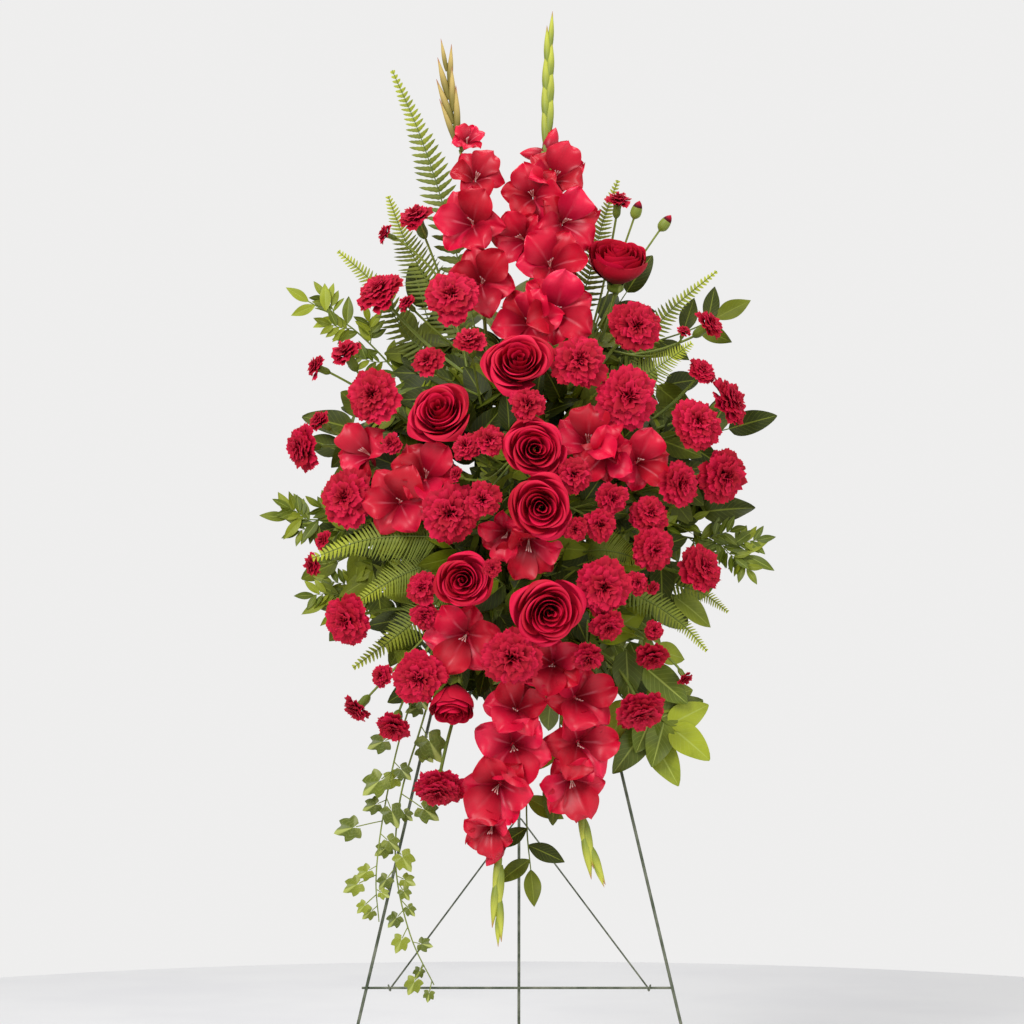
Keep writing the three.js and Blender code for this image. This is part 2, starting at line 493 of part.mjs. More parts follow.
// The outline of a leaf from its root: share of its length, share of half its width, drop.
const broadOutline = [[0.26, -0.8, 0.02], [0.62, -0.86, 0.05], [1, 0, 0.16], [0.62, 0.86, 0.05], [0.26, 0.8, 0.02]];
const smallOutline = [[0.42, -1, 0], [1, 0, 0.1], [0.42, 1, 0]];
const ivyOutline = [[-0.26, -0.45, 0.06], [0.08, -1, 0.12], [0.42, -0.6, 0], [0.9, -0.82, 0.12],
  [1.42, 0, 0.16], [0.9, 0.82, 0.12], [0.42, 0.6, 0], [0.08, 1, 0.12], [-0.26, 0.45, 0.06]];
function leafOutline(shape, root, way, faceTo, long, wide) {
  const across = way.clone().cross(faceTo).normalize();
  return shape.map(([share, side, drop]) => root.clone()
    .addScaledVector(way, share * long)
    .addScaledVector(across, (-side * wide) / 2)
    .addScaledVector(faceTo, -drop * long));
}

function bladeSolid({ points, triangles, faceTo }, thick, extra) {
  const n = points.length;
  const up = points.map((p) => p.clone().addScaledVector(faceTo, extra));
  const down = points.map((p) => p.clone().addScaledVector(faceTo, -thick - extra));
  const edges = new Set(triangles.flatMap(([a, b, c]) => [a + "_" + b, b + "_" + c, c + "_" + a]));
  const faces = triangles.flatMap(([a, b, c]) => [[a, b, c], [a + n, c + n, b + n]]);
  for (const edge of edges) {
    const [a, b] = edge.split("_").map(Number);
    if (!edges.has(b + "_" + a)) faces.push([a, a + n, b + n], [a, b + n, b]);
  }
  return toSolid(fromTriangles([...up, ...down], faces));
}

// Easel, drawn in its own leaning frame: x across, w up along the legs from the floor, s in front of them.
const lean = Math.atan(easel.leanPerMm);
const alongFrame = (z) => z / Math.cos(lean);
function onFrame(x, w, s) {
  const y = easel.footY + w * Math.sin(lean) - s * Math.cos(lean);
  return V(x, y, w * Math.cos(lean) + s * Math.sin(lean));
}
const legSlope = easel.crossbarHalf / (easel.apexZ - easel.crossbarZ);
const legHalf = (z) => (easel.apexZ - z) * legSlope;
const barBehind = easel.legWire + easel.barWire + 0.35;
const hingePoint = onFrame(0, alongFrame(easel.hingeZ), -barBehind);
const crossbarPoint = onFrame(0, alongFrame(easel.crossbarZ), -barBehind);
const rearFoot = V(0, easel.rearFootY, 0);
const rearAlong = rearFoot.clone().sub(hingePoint).normalize();
const rearSide = V(0, -rearAlong.z, rearAlong.y);

const wireAlong = (points, radius) => tubeAlong(points, points.map(() => radius), easel.facets);

function boxSolid(lo, hi) {
  const size = hi.clone().sub(lo);
  const middle = lo.clone().add(hi).multiplyScalar(0.5);
  return toSolid(new THREE.BoxGeometry(size.x, size.y, size.z).translate(middle.x, middle.y, middle.z));
}

// A box given in the leaning frame's own directions.
function frameBox(lo, hi) {
  const middle = lo.clone().add(hi).multiplyScalar(0.5);
  const place = onFrame(middle.x, middle.y, middle.z);
  const geometry = new THREE.BoxGeometry(hi.x - lo.x, hi.z - lo.z, hi.y - lo.y);
  geometry.applyMatrix4(new THREE.Matrix4().makeRotationX(-lean));
  return toSolid(geometry.translate(place.x, place.y, place.z));
}

const farAway = 3000;
const belowFloor = boxSolid(V(-farAway, -farAway, -farAway), V(farAway, farAway, 0));

// Both front legs are one wire, bent over at the top and cut flat on the floor.
function frontLegs() {
  const below = -30;
  const bendTop = 18;
  const left = onFrame(-legHalf(below), alongFrame(below), 0);
  const leftBend = onFrame(-easel.archHalf, alongFrame(easel.apexZ - easel.archHalf / legSlope), 0);
  const top = onFrame(0, alongFrame(easel.apexZ - bendTop), 0);
  const mirror = (p) => p.clone().setX(-p.x);
  return wireAlong([left, leftBend, top, mirror(leftBend), mirror(left)], easel.legWire).subtract(belowFloor);
}

function frameBar(z, pastLeft, pastRight) {
  const half = legHalf(z);
  const w = alongFrame(z);
  return wireAlong(
    [onFrame(-half - pastLeft, w, -barBehind), onFrame(half + pastRight, w, -barBehind)],
    easel.barWire,
  );
}

// The points of an open eye round a bar along X, ending where the wire leaves it at a side of the bar.
function eyePoints(centre, mean, side, sweep, spread = 0) {
  const steps = 6;
  const last = Math.atan2(side.z, side.y);
  return Array.from({ length: steps + 1 }, (_, k) => {
    const turn = last + sweep * (1 - k / steps);
    const x = centre.x + spread * (1 - k / steps);
    return V(x, centre.y + Math.cos(turn) * mean, centre.z + Math.sin(turn) * mean);
  });
}

function rearLeg() {
  const below = 30;
  const eye = eyePoints(hingePoint, easel.hingeEye, rearSide, 1.4 * Math.PI);
  const foot = rearFoot.clone().addScaledVector(rearSide, easel.hingeEye).addScaledVector(rearAlong, below);
  return wireAlong([...eye, foot], easel.legWire).subtract(belowFloor);
}

// The brace is a V of thinner wire: an eye on the crossbar at each side, and a round bend behind the back leg.
function brace() {
  const share = (hingePoint.z - easel.braceTopZ) / -rearAlong.z;
  const top = hingePoint.clone().addScaledVector(rearAlong, share).addScaledVector(rearSide, easel.hingeEye);
  const along = top.clone().sub(crossbarPoint);
  const reach = along.length();
  along.normalize();
  const side = V(0, -along.z, along.y).negate();
  const across = V(1, 0, 0);
  const slant = Math.atan(easel.braceHalf / reach);
  const bendTurns = [0, 0.5, 1, 1.5, 2].map((k) => slant + k * (Math.PI / 2 - slant));
  const bend = bendTurns.map((turn) => top.clone()
    .addScaledVector(along, easel.braceBend * Math.sin(turn))
    .addScaledVector(across, -easel.braceBend * Math.cos(turn)));
  const eye = eyePoints(crossbarPoint.clone().setX(easel.braceHalf), easel.braceEye, side, -1.2 * Math.PI, 2.6);
  eye.push(eye[eye.length - 1].clone().addScaledVector(along, easel.braceLead));
  const leftEye = eye.map((p) => p.clone().setX(-p.x));
  const rightEye = eye.reverse();
  return wireAlong([...leftEye, ...bend, ...rightEye], easel.braceWire);
}

// Foam block and tray, in the leaning frame
const foamLow = alongFrame(foam.centreZ) - foam.z / 2;
const foamHigh = foamLow + foam.z;
const trayBack = easel.legWire + 0.4;
const foamBack = trayBack + foam.wall + foam.clear;

function tray() {
  const half = foam.x / 2 + foam.clear;
  const top = alongFrame(easel.hingeZ) - 50;
  const outer = frameBox(
    V(-half - foam.wall, foamLow - foam.clear - foam.wall, trayBack),
    V(half + foam.wall, top, trayBack + foam.wall + foam.lip),
  );
  const hollow = frameBox(
    V(-half, foamLow - foam.clear, trayBack + foam.wall),
    V(half, top + farAway, trayBack + farAway),
  );
  const overBar = alongFrame(easel.hingeZ) + easel.barWire + 0.35;
  const behindBar = -barBehind - easel.barWire - 0.5;
  const hooks = [-16, 16].flatMap((x) => [
    frameBox(V(x - 4, top - 8, trayBack), V(x + 4, overBar + foam.wall, trayBack + foam.wall)),
    frameBox(V(x - 4, overBar, behindBar - foam.wall), V(x + 4, overBar + foam.wall, trayBack + foam.wall)),
    frameBox(V(x - 4, overBar - 14, behindBar - foam.wall), V(x + 4, overBar + foam.wall, behindBar)),
  ]);
  return hooks.reduce((all, hook) => all.add(hook), outer.subtract(hollow));
}

function foamBlock() {
  return frameBox(V(-foam.x / 2, foamLow, foamBack), V(foam.x / 2, foamHigh, foamBack + foam.y));
}

// Where a plant goes into the foam: a place on its bare skin towards the plant's middle, and the hole's way.
const coreShare = 0.66; // how far forward in the foam the holes aim from
const foamCore = onFrame(0, (foamLow + foamHigh) / 2, foamBack + coreShare * foam.y);
const frameUp = V(0, Math.sin(lean), Math.cos(lean));
const frameOut = V(0, -Math.cos(lean), Math.sin(lean));
function rootAt(middle) {
  const away = middle.clone().sub(foamCore);
  const startX = THREE.MathUtils.clamp(away.x * 0.3, -34, 34);
  const startW = THREE.MathUtils.clamp(away.dot(frameUp) * 0.6, -104, 104);
  const start = foamCore.clone().addScaledVector(frameUp, startW).setX(startX);
  const toMiddle = middle.clone().sub(start);
  const flat = Math.hypot(toMiddle.x, toMiddle.dot(frameUp));
  const out = Math.max(toMiddle.dot(frameOut), 0.08 * flat);
  const way = V(toMiddle.x, 0, 0)
    .addScaledVector(frameUp, toMiddle.dot(frameUp)).addScaledVector(frameOut, out).normalize();
  const walls = [
    (Math.sign(way.x) * foam.x / 2 - startX) / way.x,
    (Math.sign(way.dot(frameUp)) * foam.z / 2 - startW) / way.dot(frameUp),
    ((1 - coreShare) * foam.y) / way.dot(frameOut),
  ];
  const skin = start.addScaledVector(way, Math.min(...walls.filter((t) => t > 0)));
  return { foot: skin.clone().addScaledVector(way, -foam.depth), skin, way };
}

// Plants. Each shape is made twice: as it is, and grown by the gap that its neighbours keep from it.
const collar = 7; // how far a plant's stem stands straight out of the foam
const plant = (root) => ({ root, parts: [], grown: [] });
function addShape(made, build) {
  made.parts.push(toSolid(build(0)));
  made.grown.push(toSolid(build(gap)));
}
function addStem(made, points, thick, thin) {
  const radii = (extra) => points.map((_, k) => THREE.MathUtils.lerp(thick, thin, k / (points.length - 1)) + extra);
  made.parts.push(tubeAlong(points, radii(0), 3));
  made.grown.push(tubeAlong(points, radii(2 * gap), 3));
}

const average = (points) => points.reduce((sum, p) => sum.add(p), V(0, 0, 0)).divideScalar(points.length);

// Heads on their stems: one stem runs from the hole to the first head, and the others branch from it.
function bloomNode(rows, head, thick) {
  const places = rows.map((row) => seen(row.px, row.py, row.out));
  const made = plant(rootAt(average(places.map((place) => place.clone()))));
  const { foot, skin, way } = made.root;
  const start = skin.clone().addScaledVector(way, collar);
  let trunk = null;
  rows.forEach((row, k) => {
    const place = places[k];
    const face = facing(row.face);
    const from = k ? trunk[1].clone().lerp(trunk[2], 0.12 + (0.6 * k) / rows.length) : start;
    const back = place.clone().addScaledVector(face, -0.7 * row.r);
    const knee = back.clone().addScaledVector(face, -0.3 * back.distanceTo(from)).lerp(from, 0.25);
    if (!k) trunk = [foot, start, knee];
    const stem = k ? [from, knee] : trunk;
    const seed = row.px * 7 + row.py;
    addShape(made, (extra) => {
      const radii = [...stem, place].map((_, i) => thick * (1 - 0.08 * i) + 2 * extra);
      if (row.bud) return budOnStem(row.r + extra, place, face, stem, radii);
      return bloomOnStem(head, row.r + 1.4 * extra, row.cup || 1, seed, place, face, stem, radii);
    });
  });
  return made;
}

function budOnStem(r, place, face, stem, radii) {
  const rise = (height) => place.clone().addScaledVector(face, height * r);
  const points = [...stem, place, rise(1), rise(2.2)];
  const { rings } = tubeRings(points, [...radii, r, r * 0.7], 3, face);
  return ringSolid(stem[0], rings, rise(3.4));
}

// The nearest place on a stem that runs straight between its points.
function nearestOn(points, place) {
  let best = points[0];
  for (let k = 0; k + 1 < points.length; k++) {
    const end = points[k + 1].clone().lerp(points[k], 0.08);
    const near = new THREE.Line3(points[k], end).closestPointToPoint(place, true, V(0, 0, 0));
    if (near.distanceTo(place) < best.distanceTo(place)) best = near;
  }
  return best.clone();
}

function spikeNode(spike) {
  const path = spike.stem.map(([px, py, out]) => seen(px, py, out));
  const made = plant(rootAt(path[0]));
  const start = made.root.skin.clone().addScaledVector(made.root.way, collar - 1);
  const curve = new THREE.CatmullRomCurve3([start, ...path], false, "centripetal");
  const stem = [made.root.foot, ...curve.getPoints(5)];
  addStem(made, stem, 2.6, 1.9);
  for (const [px, py, out, r, face] of spike.florets) {
    const place = seen(px, py, out);
    const toward = facing(face);
    if (r < budBelow) {
      const near = nearestOn(stem, place);
      const along = place.clone().sub(near).normalize();
      addShape(made, (extra) => stand(budShape(r + extra, 2.6 * r + 10), near, along));
      continue;
    }
    const base = place.clone().addScaledVector(toward, -0.7 * r);
    const joint = nearestOn(stem, base);
    const foot = joint.clone().add(joint.clone().sub(place).setLength(1.2));
    addShape(made, (extra) => floret(r + extra, place, toward, foot, r + px));
  }
  return made;
}

// The green end of a spike: closed buds in their sheaths, raised left and right in turn on its tapering stem.
function spikeTip(spike) {
  const path = spike.end.map(([px, py, out]) => seen(px, py, out));
  const made = plant({ foot: path[0], skin: path[0], way: UP });
  const curve = new THREE.CatmullRomCurve3(path, false, "centripetal");
  const sheaths = Math.max(3, Math.round(curve.getLength() / 32));
  const build = (extra) => {
    const rings = [];
    for (let k = 0; k < 2 * sheaths; k++) {
      const share = (k + 0.25) / (2 * sheaths + 0.5);
      const middle = curve.getPoint(share);
      const full = (1 - 0.62 * share) * (k % 2 ? 8.6 : 4.2) + extra;
      const side = (k % 4 === 1 ? 1 : -1) * (k % 2 ? 3.4 * (1 - share) : 0);
      rings.push(Array.from({ length: 5 }, (_, i) => {
        const turn = (2 * Math.PI * i) / 5;
        return V(middle.x + side + Math.cos(turn) * full, middle.y + Math.sin(turn) * full * 0.7, middle.z);
      }));
    }
    if (path[0].z > path[path.length - 1].z) rings.reverse();
    const ends = [curve.getPoint(0), curve.getPoint(1)];
    if (path[0].z > path[path.length - 1].z) ends.reverse();
    return ringSolid(ends[0], rings, ends[1]);
  };
  addShape(made, build);
  return made;
}

const towardViewer = (tangent, lift) => {
  const way = V(0, -1, lift);
  return way.sub(tangent.clone().multiplyScalar(way.dot(tangent))).normalize();
};

function startBlades(rows) {
  const paths = rows.map((row) => row.path.map(([px, py, out]) => seen(px, py, out)));
  const made = plant(rootAt(average(paths.map((path) => path[0].clone()))));
  const { foot, skin, way } = made.root;
  addStem(made, [foot, skin.clone().addScaledVector(way, collar)], 2.8, 2.8);
  const start = skin.clone().addScaledVector(way, collar - 3);
  const curves = paths.map((path) => new THREE.CatmullRomCurve3([start, ...path], false, "centripetal"));
  return { made, curves };
}

function addBlade(made, blade, thick) {
  made.parts.push(bladeSolid(blade, thick, 0));
  made.grown.push(bladeSolid(blade, thick, gap));
}

function frondNode(rows) {
  const { made, curves } = startBlades(rows);
  const bareShares = [0, 0.12, 0.23];
  const from = 0.34;
  rows.forEach((row, k) => {
    const curve = curves[k];
    const faceTo = towardViewer(curve.getTangent(0.6), 0.25);
    const shares = [...bareShares, ...Array.from({ length: frondPairs + 1 }, (_, i) => from + ((1 - from) * i) / frondPairs)];
    const halves = shares.map((_, i) => (i === shares.length - 1 ? 0.6 : 1.6));
    const blade = ribAlong(curve, shares, halves, faceTo);
    for (let i = 0; i < frondPairs; i++) {
      const share = from + ((1 - from) * (i + 0.5)) / frondPairs;
      const along = curve.getTangent(share);
      const across = along.clone().cross(faceTo).normalize();
      const taper = Math.sin(Math.PI * Math.min(1, 0.3 + 0.62 * (1 - i / frondPairs))) ** 0.8;
      const reach = row.wide * view.mmPerPixel * taper;
      const tip = (side) => curve.getPoint(share)
        .addScaledVector(across, side * reach).addScaledVector(along, 5).addScaledVector(faceTo, -0.12 * reach);
      const [l0, r0, l1, r1] = [0, 1, 2, 3].map((corner) => 2 * (bareShares.length + i) + corner);
      growLeaf(blade, l1, [tip(-1)], l0);
      growLeaf(blade, r0, [tip(1)], r1);
    }
    addBlade(made, blade, frondThick);
  });
  return made;
}

function leafNode(rows) {
  const { made, curves } = startBlades(rows);
  rows.forEach((row, k) => {
    const curve = curves[k];
    const faceTo = towardViewer(curve.getTangent(0.6), 0.3);
    const shape = row.long < smallBelow ? smallOutline : broadOutline;
    const sides = row.count - 1;
    const step = (1 - row.from) / sides;
    const share = (i) => row.from + i * step;
    const shares = [0, 0.5 * row.from];
    for (let i = 0; i < sides; i++) shares.push(share(i), share(i) + 0.3 * step);
    shares.push(0.99);
    const blade = ribAlong(curve, shares, shares.map((t) => 2.1 - 1.1 * t), faceTo);
    const [long, wide] = [row.long * view.mmPerPixel, row.wide * view.mmPerPixel];
    for (let i = 0; i < row.count; i++) {
      const last = i === sides;
      const at = Math.min(0.985, last ? 1 : share(i) + 0.15 * step);
      const along = curve.getTangent(at);
      const across = along.clone().cross(faceTo).normalize();
      const side = last ? 0 : i % 2 ? 1 : -1;
      const spread = THREE.MathUtils.degToRad(row.spread) * side;
      const size = 1 - 0.14 * Math.abs(Math.sin(i * 1.3));
      const way = along.clone().multiplyScalar(Math.cos(spread)).addScaledVector(across, Math.sin(spread));
      way.addScaledVector(faceTo, 0.3 * (i / row.count) - 0.04).normalize();
      const outline = leafOutline(shape, curve.getPoint(at), way, faceTo, long * size, wide * size);
      const base = 4 + 4 * i;
      if (last) growLeaf(blade, base + 1, outline, base);
      else if (side > 0) growLeaf(blade, base + 1, outline, base + 3);
      else growLeaf(blade, base + 2, outline, base);
    }
    addBlade(made, blade, leafThick);
  });
  return made;
}

// Adds a lobed leaf on a stalk that starts at one of the rib's edges.
function growStalked(blade, first, last, notch, across, way, outline) {
  const [near, far, middle] = [0, 1, 2].map((k) => blade.points.length + k);
  blade.points.push(notch.clone().add(across), notch.clone().sub(across), notch.clone().add(way));
  blade.triangles.push([first, near, far], [first, far, last]);
  const start = blade.points.length;
  blade.points.push(...outline);
  const rim = [near, ...outline.map((_, i) => start + i), far];
  rim.forEach((point, i) => blade.triangles.push([middle, point, rim[(i + 1) % rim.length]]));
}

function shareNear(curve, place) {
  const steps = 200;
  let best = 0;
  for (let k = 0; k <= steps; k++) {
    const better = curve.getPoint(k / steps).distanceTo(place) < curve.getPoint(best).distanceTo(place);
    if (better) best = k / steps;
  }
  return best;
}

const halfJoint = 0.008; // half a stalk's width, as a share of the vine
function ivyNode() {
  const { made, curves } = startBlades(ivy.vines);
  ivy.vines.forEach((vine, k) => {
    const curve = curves[k];
    const faceTo = towardViewer(curve.getTangent(0.6), 0.1);
    const leaves = vine.leaves.map(([px, py, wide], i) => {
      const out = vine.path.reduce((best, p) => (Math.abs(p[1] - py) < Math.abs(best[1] - py) ? p : best))[2];
      const middle = seen(px, py, out + 12 + 5 * (i % 3));
      return { middle, r: wide * 0.5 * view.mmPerPixel, share: shareNear(curve, middle.clone().add(V(0, 0, 16))) };
    });
    leaves.sort((one, two) => one.share - two.share);
    leaves.forEach((leaf, i) => {
      const before = i ? leaves[i - 1].share + 3 * halfJoint : 0.1;
      leaf.share = Math.min(Math.max(leaf.share, before), 1 - 3 * halfJoint * (leaves.length - i));
    });
    const shares = [0, 0.12, 0.25];
    for (const { share } of leaves) shares.push(share - halfJoint, share + halfJoint);
    const kept = [...shares, 1].sort((one, two) => one - two).filter((t, i, all) => !i || t - all[i - 1] > 1e-6);
    const blade = ribAlong(curve, kept, kept.map((t) => 1.7 - 0.8 * t), faceTo);
    for (const { middle, r, share } of leaves) {
      const station = kept.findIndex((t) => Math.abs(t - (share - halfJoint)) < 1e-9);
      const [l0, r0, l1, r1] = [0, 1, 2, 3].map((corner) => 2 * station + corner);
      const joint = curve.getPoint(share);
      const onRight = middle.clone().sub(joint).dot(curve.getTangent(share).cross(faceTo)) > 0;
      const hang = middle.clone().sub(joint).projectOnPlane(faceTo).normalize();
      const across = hang.clone().cross(faceTo).normalize();
      const notch = middle.clone().addScaledVector(hang, -0.3 * r);
      const outline = leafOutline(ivyOutline, notch, hang, faceTo, r, 2 * r);
      const way = hang.clone().multiplyScalar(0.2 * r);
      if (onRight) growStalked(blade, r0, r1, notch, across, way, outline);
      else growStalked(blade, l1, l0, notch, across, way, outline);
    }
    addBlade(made, blade, leafThick);
  });
  return made;
}

// The pieces in order: one that comes later gives way to those before it.
const group = new THREE.Group();
const standing = new Map();

function place(name, solid, look) {
  const [color, roughness, metalness] = look;
  const material = new THREE.MeshStandardMaterial({ color, roughness, metalness });
  const mesh = new THREE.Mesh(toGeometry(solid), material);
  mesh.name = name;
  group.add(mesh);
}

const overlaps = (a, b) => [0, 1, 2].every((i) => a.min[i] <= b.max[i] && b.min[i] <= a.max[i]);

function largestBody(solid) {
  const bodies = solid.decompose();
  return bodies.reduce((best, body) => (body.volume() > best.volume() ? body : best));
}

function join(solids) {
  return solids.reduce((all, solid) => all.add(solid));
}

function growPlant(name, made, look) {
  let solid = join(made.parts).subtract(rooms.subtract(channel(made.root, foam.depth + 5, 14)));
  for (const other of standing.values()) {
    if (overlaps(solid.boundingBox(), other.boundingBox())) solid = solid.subtract(other);
  }
  const kept = largestBody(solid);
  standing.set(name, join(made.grown));
  place(name, kept, look);
  return kept;
}

const rowsOf = (table) => {
  const nodes = new Map();
  for (const row of table) nodes.set(row.node, [...(nodes.get(row.node) || []), row]);
  return [...nodes];
};

const holes = [];
function channel({ skin, way }, inside, outside) {
  const ends = [-inside, outside].map((reach) => skin.clone().addScaledVector(way, reach));
  return tubeAlong(ends, [holeRadius, holeRadius], 4);
}

// Building it all
const looks = {
  easel: [easelGreen, 0.45, 0.6],
  tray: [trayGreen, 0.5, 0],
  foam: [foamGreen, 0.95, 0],
  rose: [roseRed, 0.55, 0],
  carnation: [red, 0.6, 0],
  gladiolus: [gladRed, 0.5, 0],
  bud: [budGreen, 0.5, 0],
  fern: [fernGreen, 0.6, 0],
  leaf: [leafGreen, 0.4, 0],
};

const structure = {
  easel_front_legs: [frontLegs(), looks.easel],
  easel_crossbar: [frameBar(easel.crossbarZ, 6, 2), looks.easel],
  easel_middle_bar: [frameBar(easel.middleZ, 2, 2), looks.easel],
  easel_hinge_bar: [frameBar(easel.hingeZ, 2, 2), looks.easel],
  easel_back_leg: [rearLeg(), looks.easel],
  easel_brace: [brace(), looks.easel],
  foam_tray: [tray(), looks.tray],
};
for (const [name, [solid, look]] of Object.entries(structure)) place(name, solid, look);

// Space that the plants leave to the foam, the tray, the legs and the folding back leg.
function keepClear() {
  const half = foam.x / 2 + foam.clear + foam.wall + gap;
  const trayTop = alongFrame(easel.hingeZ) - 50;
  const trayRoom = frameBox(
    V(-half, foamLow - foam.clear - foam.wall - gap, trayBack - 14),
    V(half, trayTop + gap, trayBack + foam.wall + foam.lip + gap),
  );
  const foamRoom = frameBox(
    V(-foam.x / 2 - gap, foamLow - gap, foamBack - 18),
    V(foam.x / 2 + gap, foamHigh + gap, foamBack + foam.y + gap),
  );
  const foldingRoom = frameBox(V(-16, 0, -farAway), V(16, alongFrame(easel.hingeZ) + 20, trayBack));
  const foot = onFrame(legHalf(0), 0, 0);
  const legTop = onFrame(0, alongFrame(easel.apexZ), 0);
  const legRoom = wireAlong([foot.clone().setX(-foot.x), legTop, foot], easel.legWire + 3);
  return join([trayRoom, foamRoom, foldingRoom, legRoom]);
}

const rooms = keepClear();
const plants = [];
for (const [name, rows] of rowsOf(roses)) {
  plants.push([name, bloomNode(rows, roseHead, 2.6), looks.rose]);
}
for (const [name, rows] of rowsOf(carnations)) {
  plants.push([name, bloomNode(rows, carnationHead, 2.3), looks.carnation]);
}
for (const spike of spikes) plants.push([spike.node, spikeNode(spike), looks.gladiolus]);
for (const [name, rows] of rowsOf(minis)) {
  plants.push([name, bloomNode(rows, miniHead, 1.9), looks.carnation]);
}
for (const spike of spikes.filter((s) => s.tip)) plants.push([spike.tip, spikeTip(spike), looks.bud]);
for (const [name, rows] of rowsOf(fronds)) plants.push([name, frondNode(rows), looks.fern]);
for (const [name, rows] of rowsOf(branches)) plants.push([name, leafNode(rows), looks.leaf]);
plants.push([ivy.node, ivyNode(), looks.leaf]);

for (const [name, made, look] of plants) {
  growPlant(name, made, look);
  if (!name.endsWith("_tip")) holes.push(channel(made.root, foam.depth + gap, 20));
}
const drilled = holes.reduce((block, hole) => block.subtract(hole), foamBlock());
place("foam_block", largestBody(drilled), looks.foam);

// The floor's middle under the whole arrangement is the origin.
const extent = new THREE.Box3().setFromObject(group);
const middle = extent.getCenter(V(0, 0, 0));
for (const mesh of group.children) mesh.position.set(-middle.x, -middle.y, -extent.min.z);

export default group;
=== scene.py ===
# Standing funeral spray: red gladioli, roses, carnations and spray carnations with fern, leaves and ivy,
# in wet foam on a folding green wire easel.
import math
import bpy
import numpy as np
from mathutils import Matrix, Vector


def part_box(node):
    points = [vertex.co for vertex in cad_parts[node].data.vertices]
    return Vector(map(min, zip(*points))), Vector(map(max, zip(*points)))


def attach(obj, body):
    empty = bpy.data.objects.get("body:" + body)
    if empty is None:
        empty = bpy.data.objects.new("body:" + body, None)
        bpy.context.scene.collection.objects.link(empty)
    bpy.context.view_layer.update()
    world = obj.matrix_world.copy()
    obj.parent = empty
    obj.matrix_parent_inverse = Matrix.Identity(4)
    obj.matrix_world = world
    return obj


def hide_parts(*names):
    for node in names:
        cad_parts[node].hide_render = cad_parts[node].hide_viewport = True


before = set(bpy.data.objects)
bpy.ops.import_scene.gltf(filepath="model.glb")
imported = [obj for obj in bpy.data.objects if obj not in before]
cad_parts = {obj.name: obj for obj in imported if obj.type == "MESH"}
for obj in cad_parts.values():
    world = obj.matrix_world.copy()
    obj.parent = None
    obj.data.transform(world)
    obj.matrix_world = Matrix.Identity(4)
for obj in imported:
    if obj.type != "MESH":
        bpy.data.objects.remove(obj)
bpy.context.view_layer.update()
print("frame loaded")

# The tables give a place as a pixel of the front view and how far it is in front of the easel's plane.
mmPerPixel = 1.25
centrePixel = 512
eye = {"x": -9, "distance": 5000, "height": 741}
easelSizes = {"footY": -200, "leanPerMm": 0.2117, "hingeBarY": -18.84}
foamSizes = {"x": 110, "y": 80, "z": 270, "centreZ": 720, "back": 4.9, "coreShare": 0.66}
rootSizes = {"sideShare": 0.3, "side": 34, "upShare": 0.6, "up": 104, "least": 0.08, "depth": 24, "collar": 7}
goldenTurn = 2.39996

barLow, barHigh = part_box("easel_hinge_bar")
shift = np.array([
    (barLow.x + barHigh.x) * 500,
    (barLow.y + barHigh.y) * 500 - easelSizes["hingeBarY"],
    0.0,
])
up = np.array([0.0, 0.0, 1.0])


def unit(vector):
    vector = np.asarray(vector, float)
    return vector / max(np.linalg.norm(vector), 1e-9)


def squareTo(way, vector):
    return unit(vector - way * (vector @ way))


def anyPhase(chance):
    return chance.uniform(0, 6.28)


def seen(px, py, out):
    y = -out
    for turn in range(4):
        scale = mmPerPixel * (eye["distance"] + y) / eye["distance"]
        z = eye["height"] + (centrePixel - py) * scale
        y = easelSizes["footY"] + easelSizes["leanPerMm"] * z - out
    scale = mmPerPixel * (eye["distance"] + y) / eye["distance"]
    return np.array([eye["x"] + (px - centrePixel) * scale, y, z])


def facing(face):
    return unit([face[0], -face[2], face[1]])


# Where each plant goes into the foam: the foot of its stem, the foam's skin and the way it comes out.
lean = math.atan(easelSizes["leanPerMm"])
frameUp = np.array([0, math.sin(lean), math.cos(lean)])
frameOut = np.array([0, -math.cos(lean), math.sin(lean)])
easelFoot = np.array([0, easelSizes["footY"], 0.0])
coreOut = foamSizes["back"] + foamSizes["coreShare"] * foamSizes["y"]
foamCore = easelFoot + frameUp * foamSizes["centreZ"] / math.cos(lean) + frameOut * coreOut


def rootAt(middle):
    away = middle - foamCore
    startX = float(np.clip(away[0] * rootSizes["sideShare"], -rootSizes["side"], rootSizes["side"]))
    startUp = float(np.clip(away @ frameUp * rootSizes["upShare"], -rootSizes["up"], rootSizes["up"]))
    start = foamCore + frameUp * startUp
    start[0] = startX
    toMiddle = middle - start
    rise = toMiddle @ frameUp
    reach = max(toMiddle @ frameOut, rootSizes["least"] * math.hypot(toMiddle[0], rise))
    way = unit(np.array([toMiddle[0], 0, 0]) + frameUp * rise + frameOut * reach)
    walls = [(1 - foamSizes["coreShare"]) * foamSizes["y"] / (way @ frameOut)]
    for begin, along, side in ((startX, way[0], "x"), (startUp, way @ frameUp, "z")):
        if abs(along) > 1e-9:
            walls.append((math.copysign(foamSizes[side] / 2, along) - begin) / along)
    skin = start + way * min(wall for wall in walls if wall > 0)
    return skin - way * rootSizes["depth"], skin, way


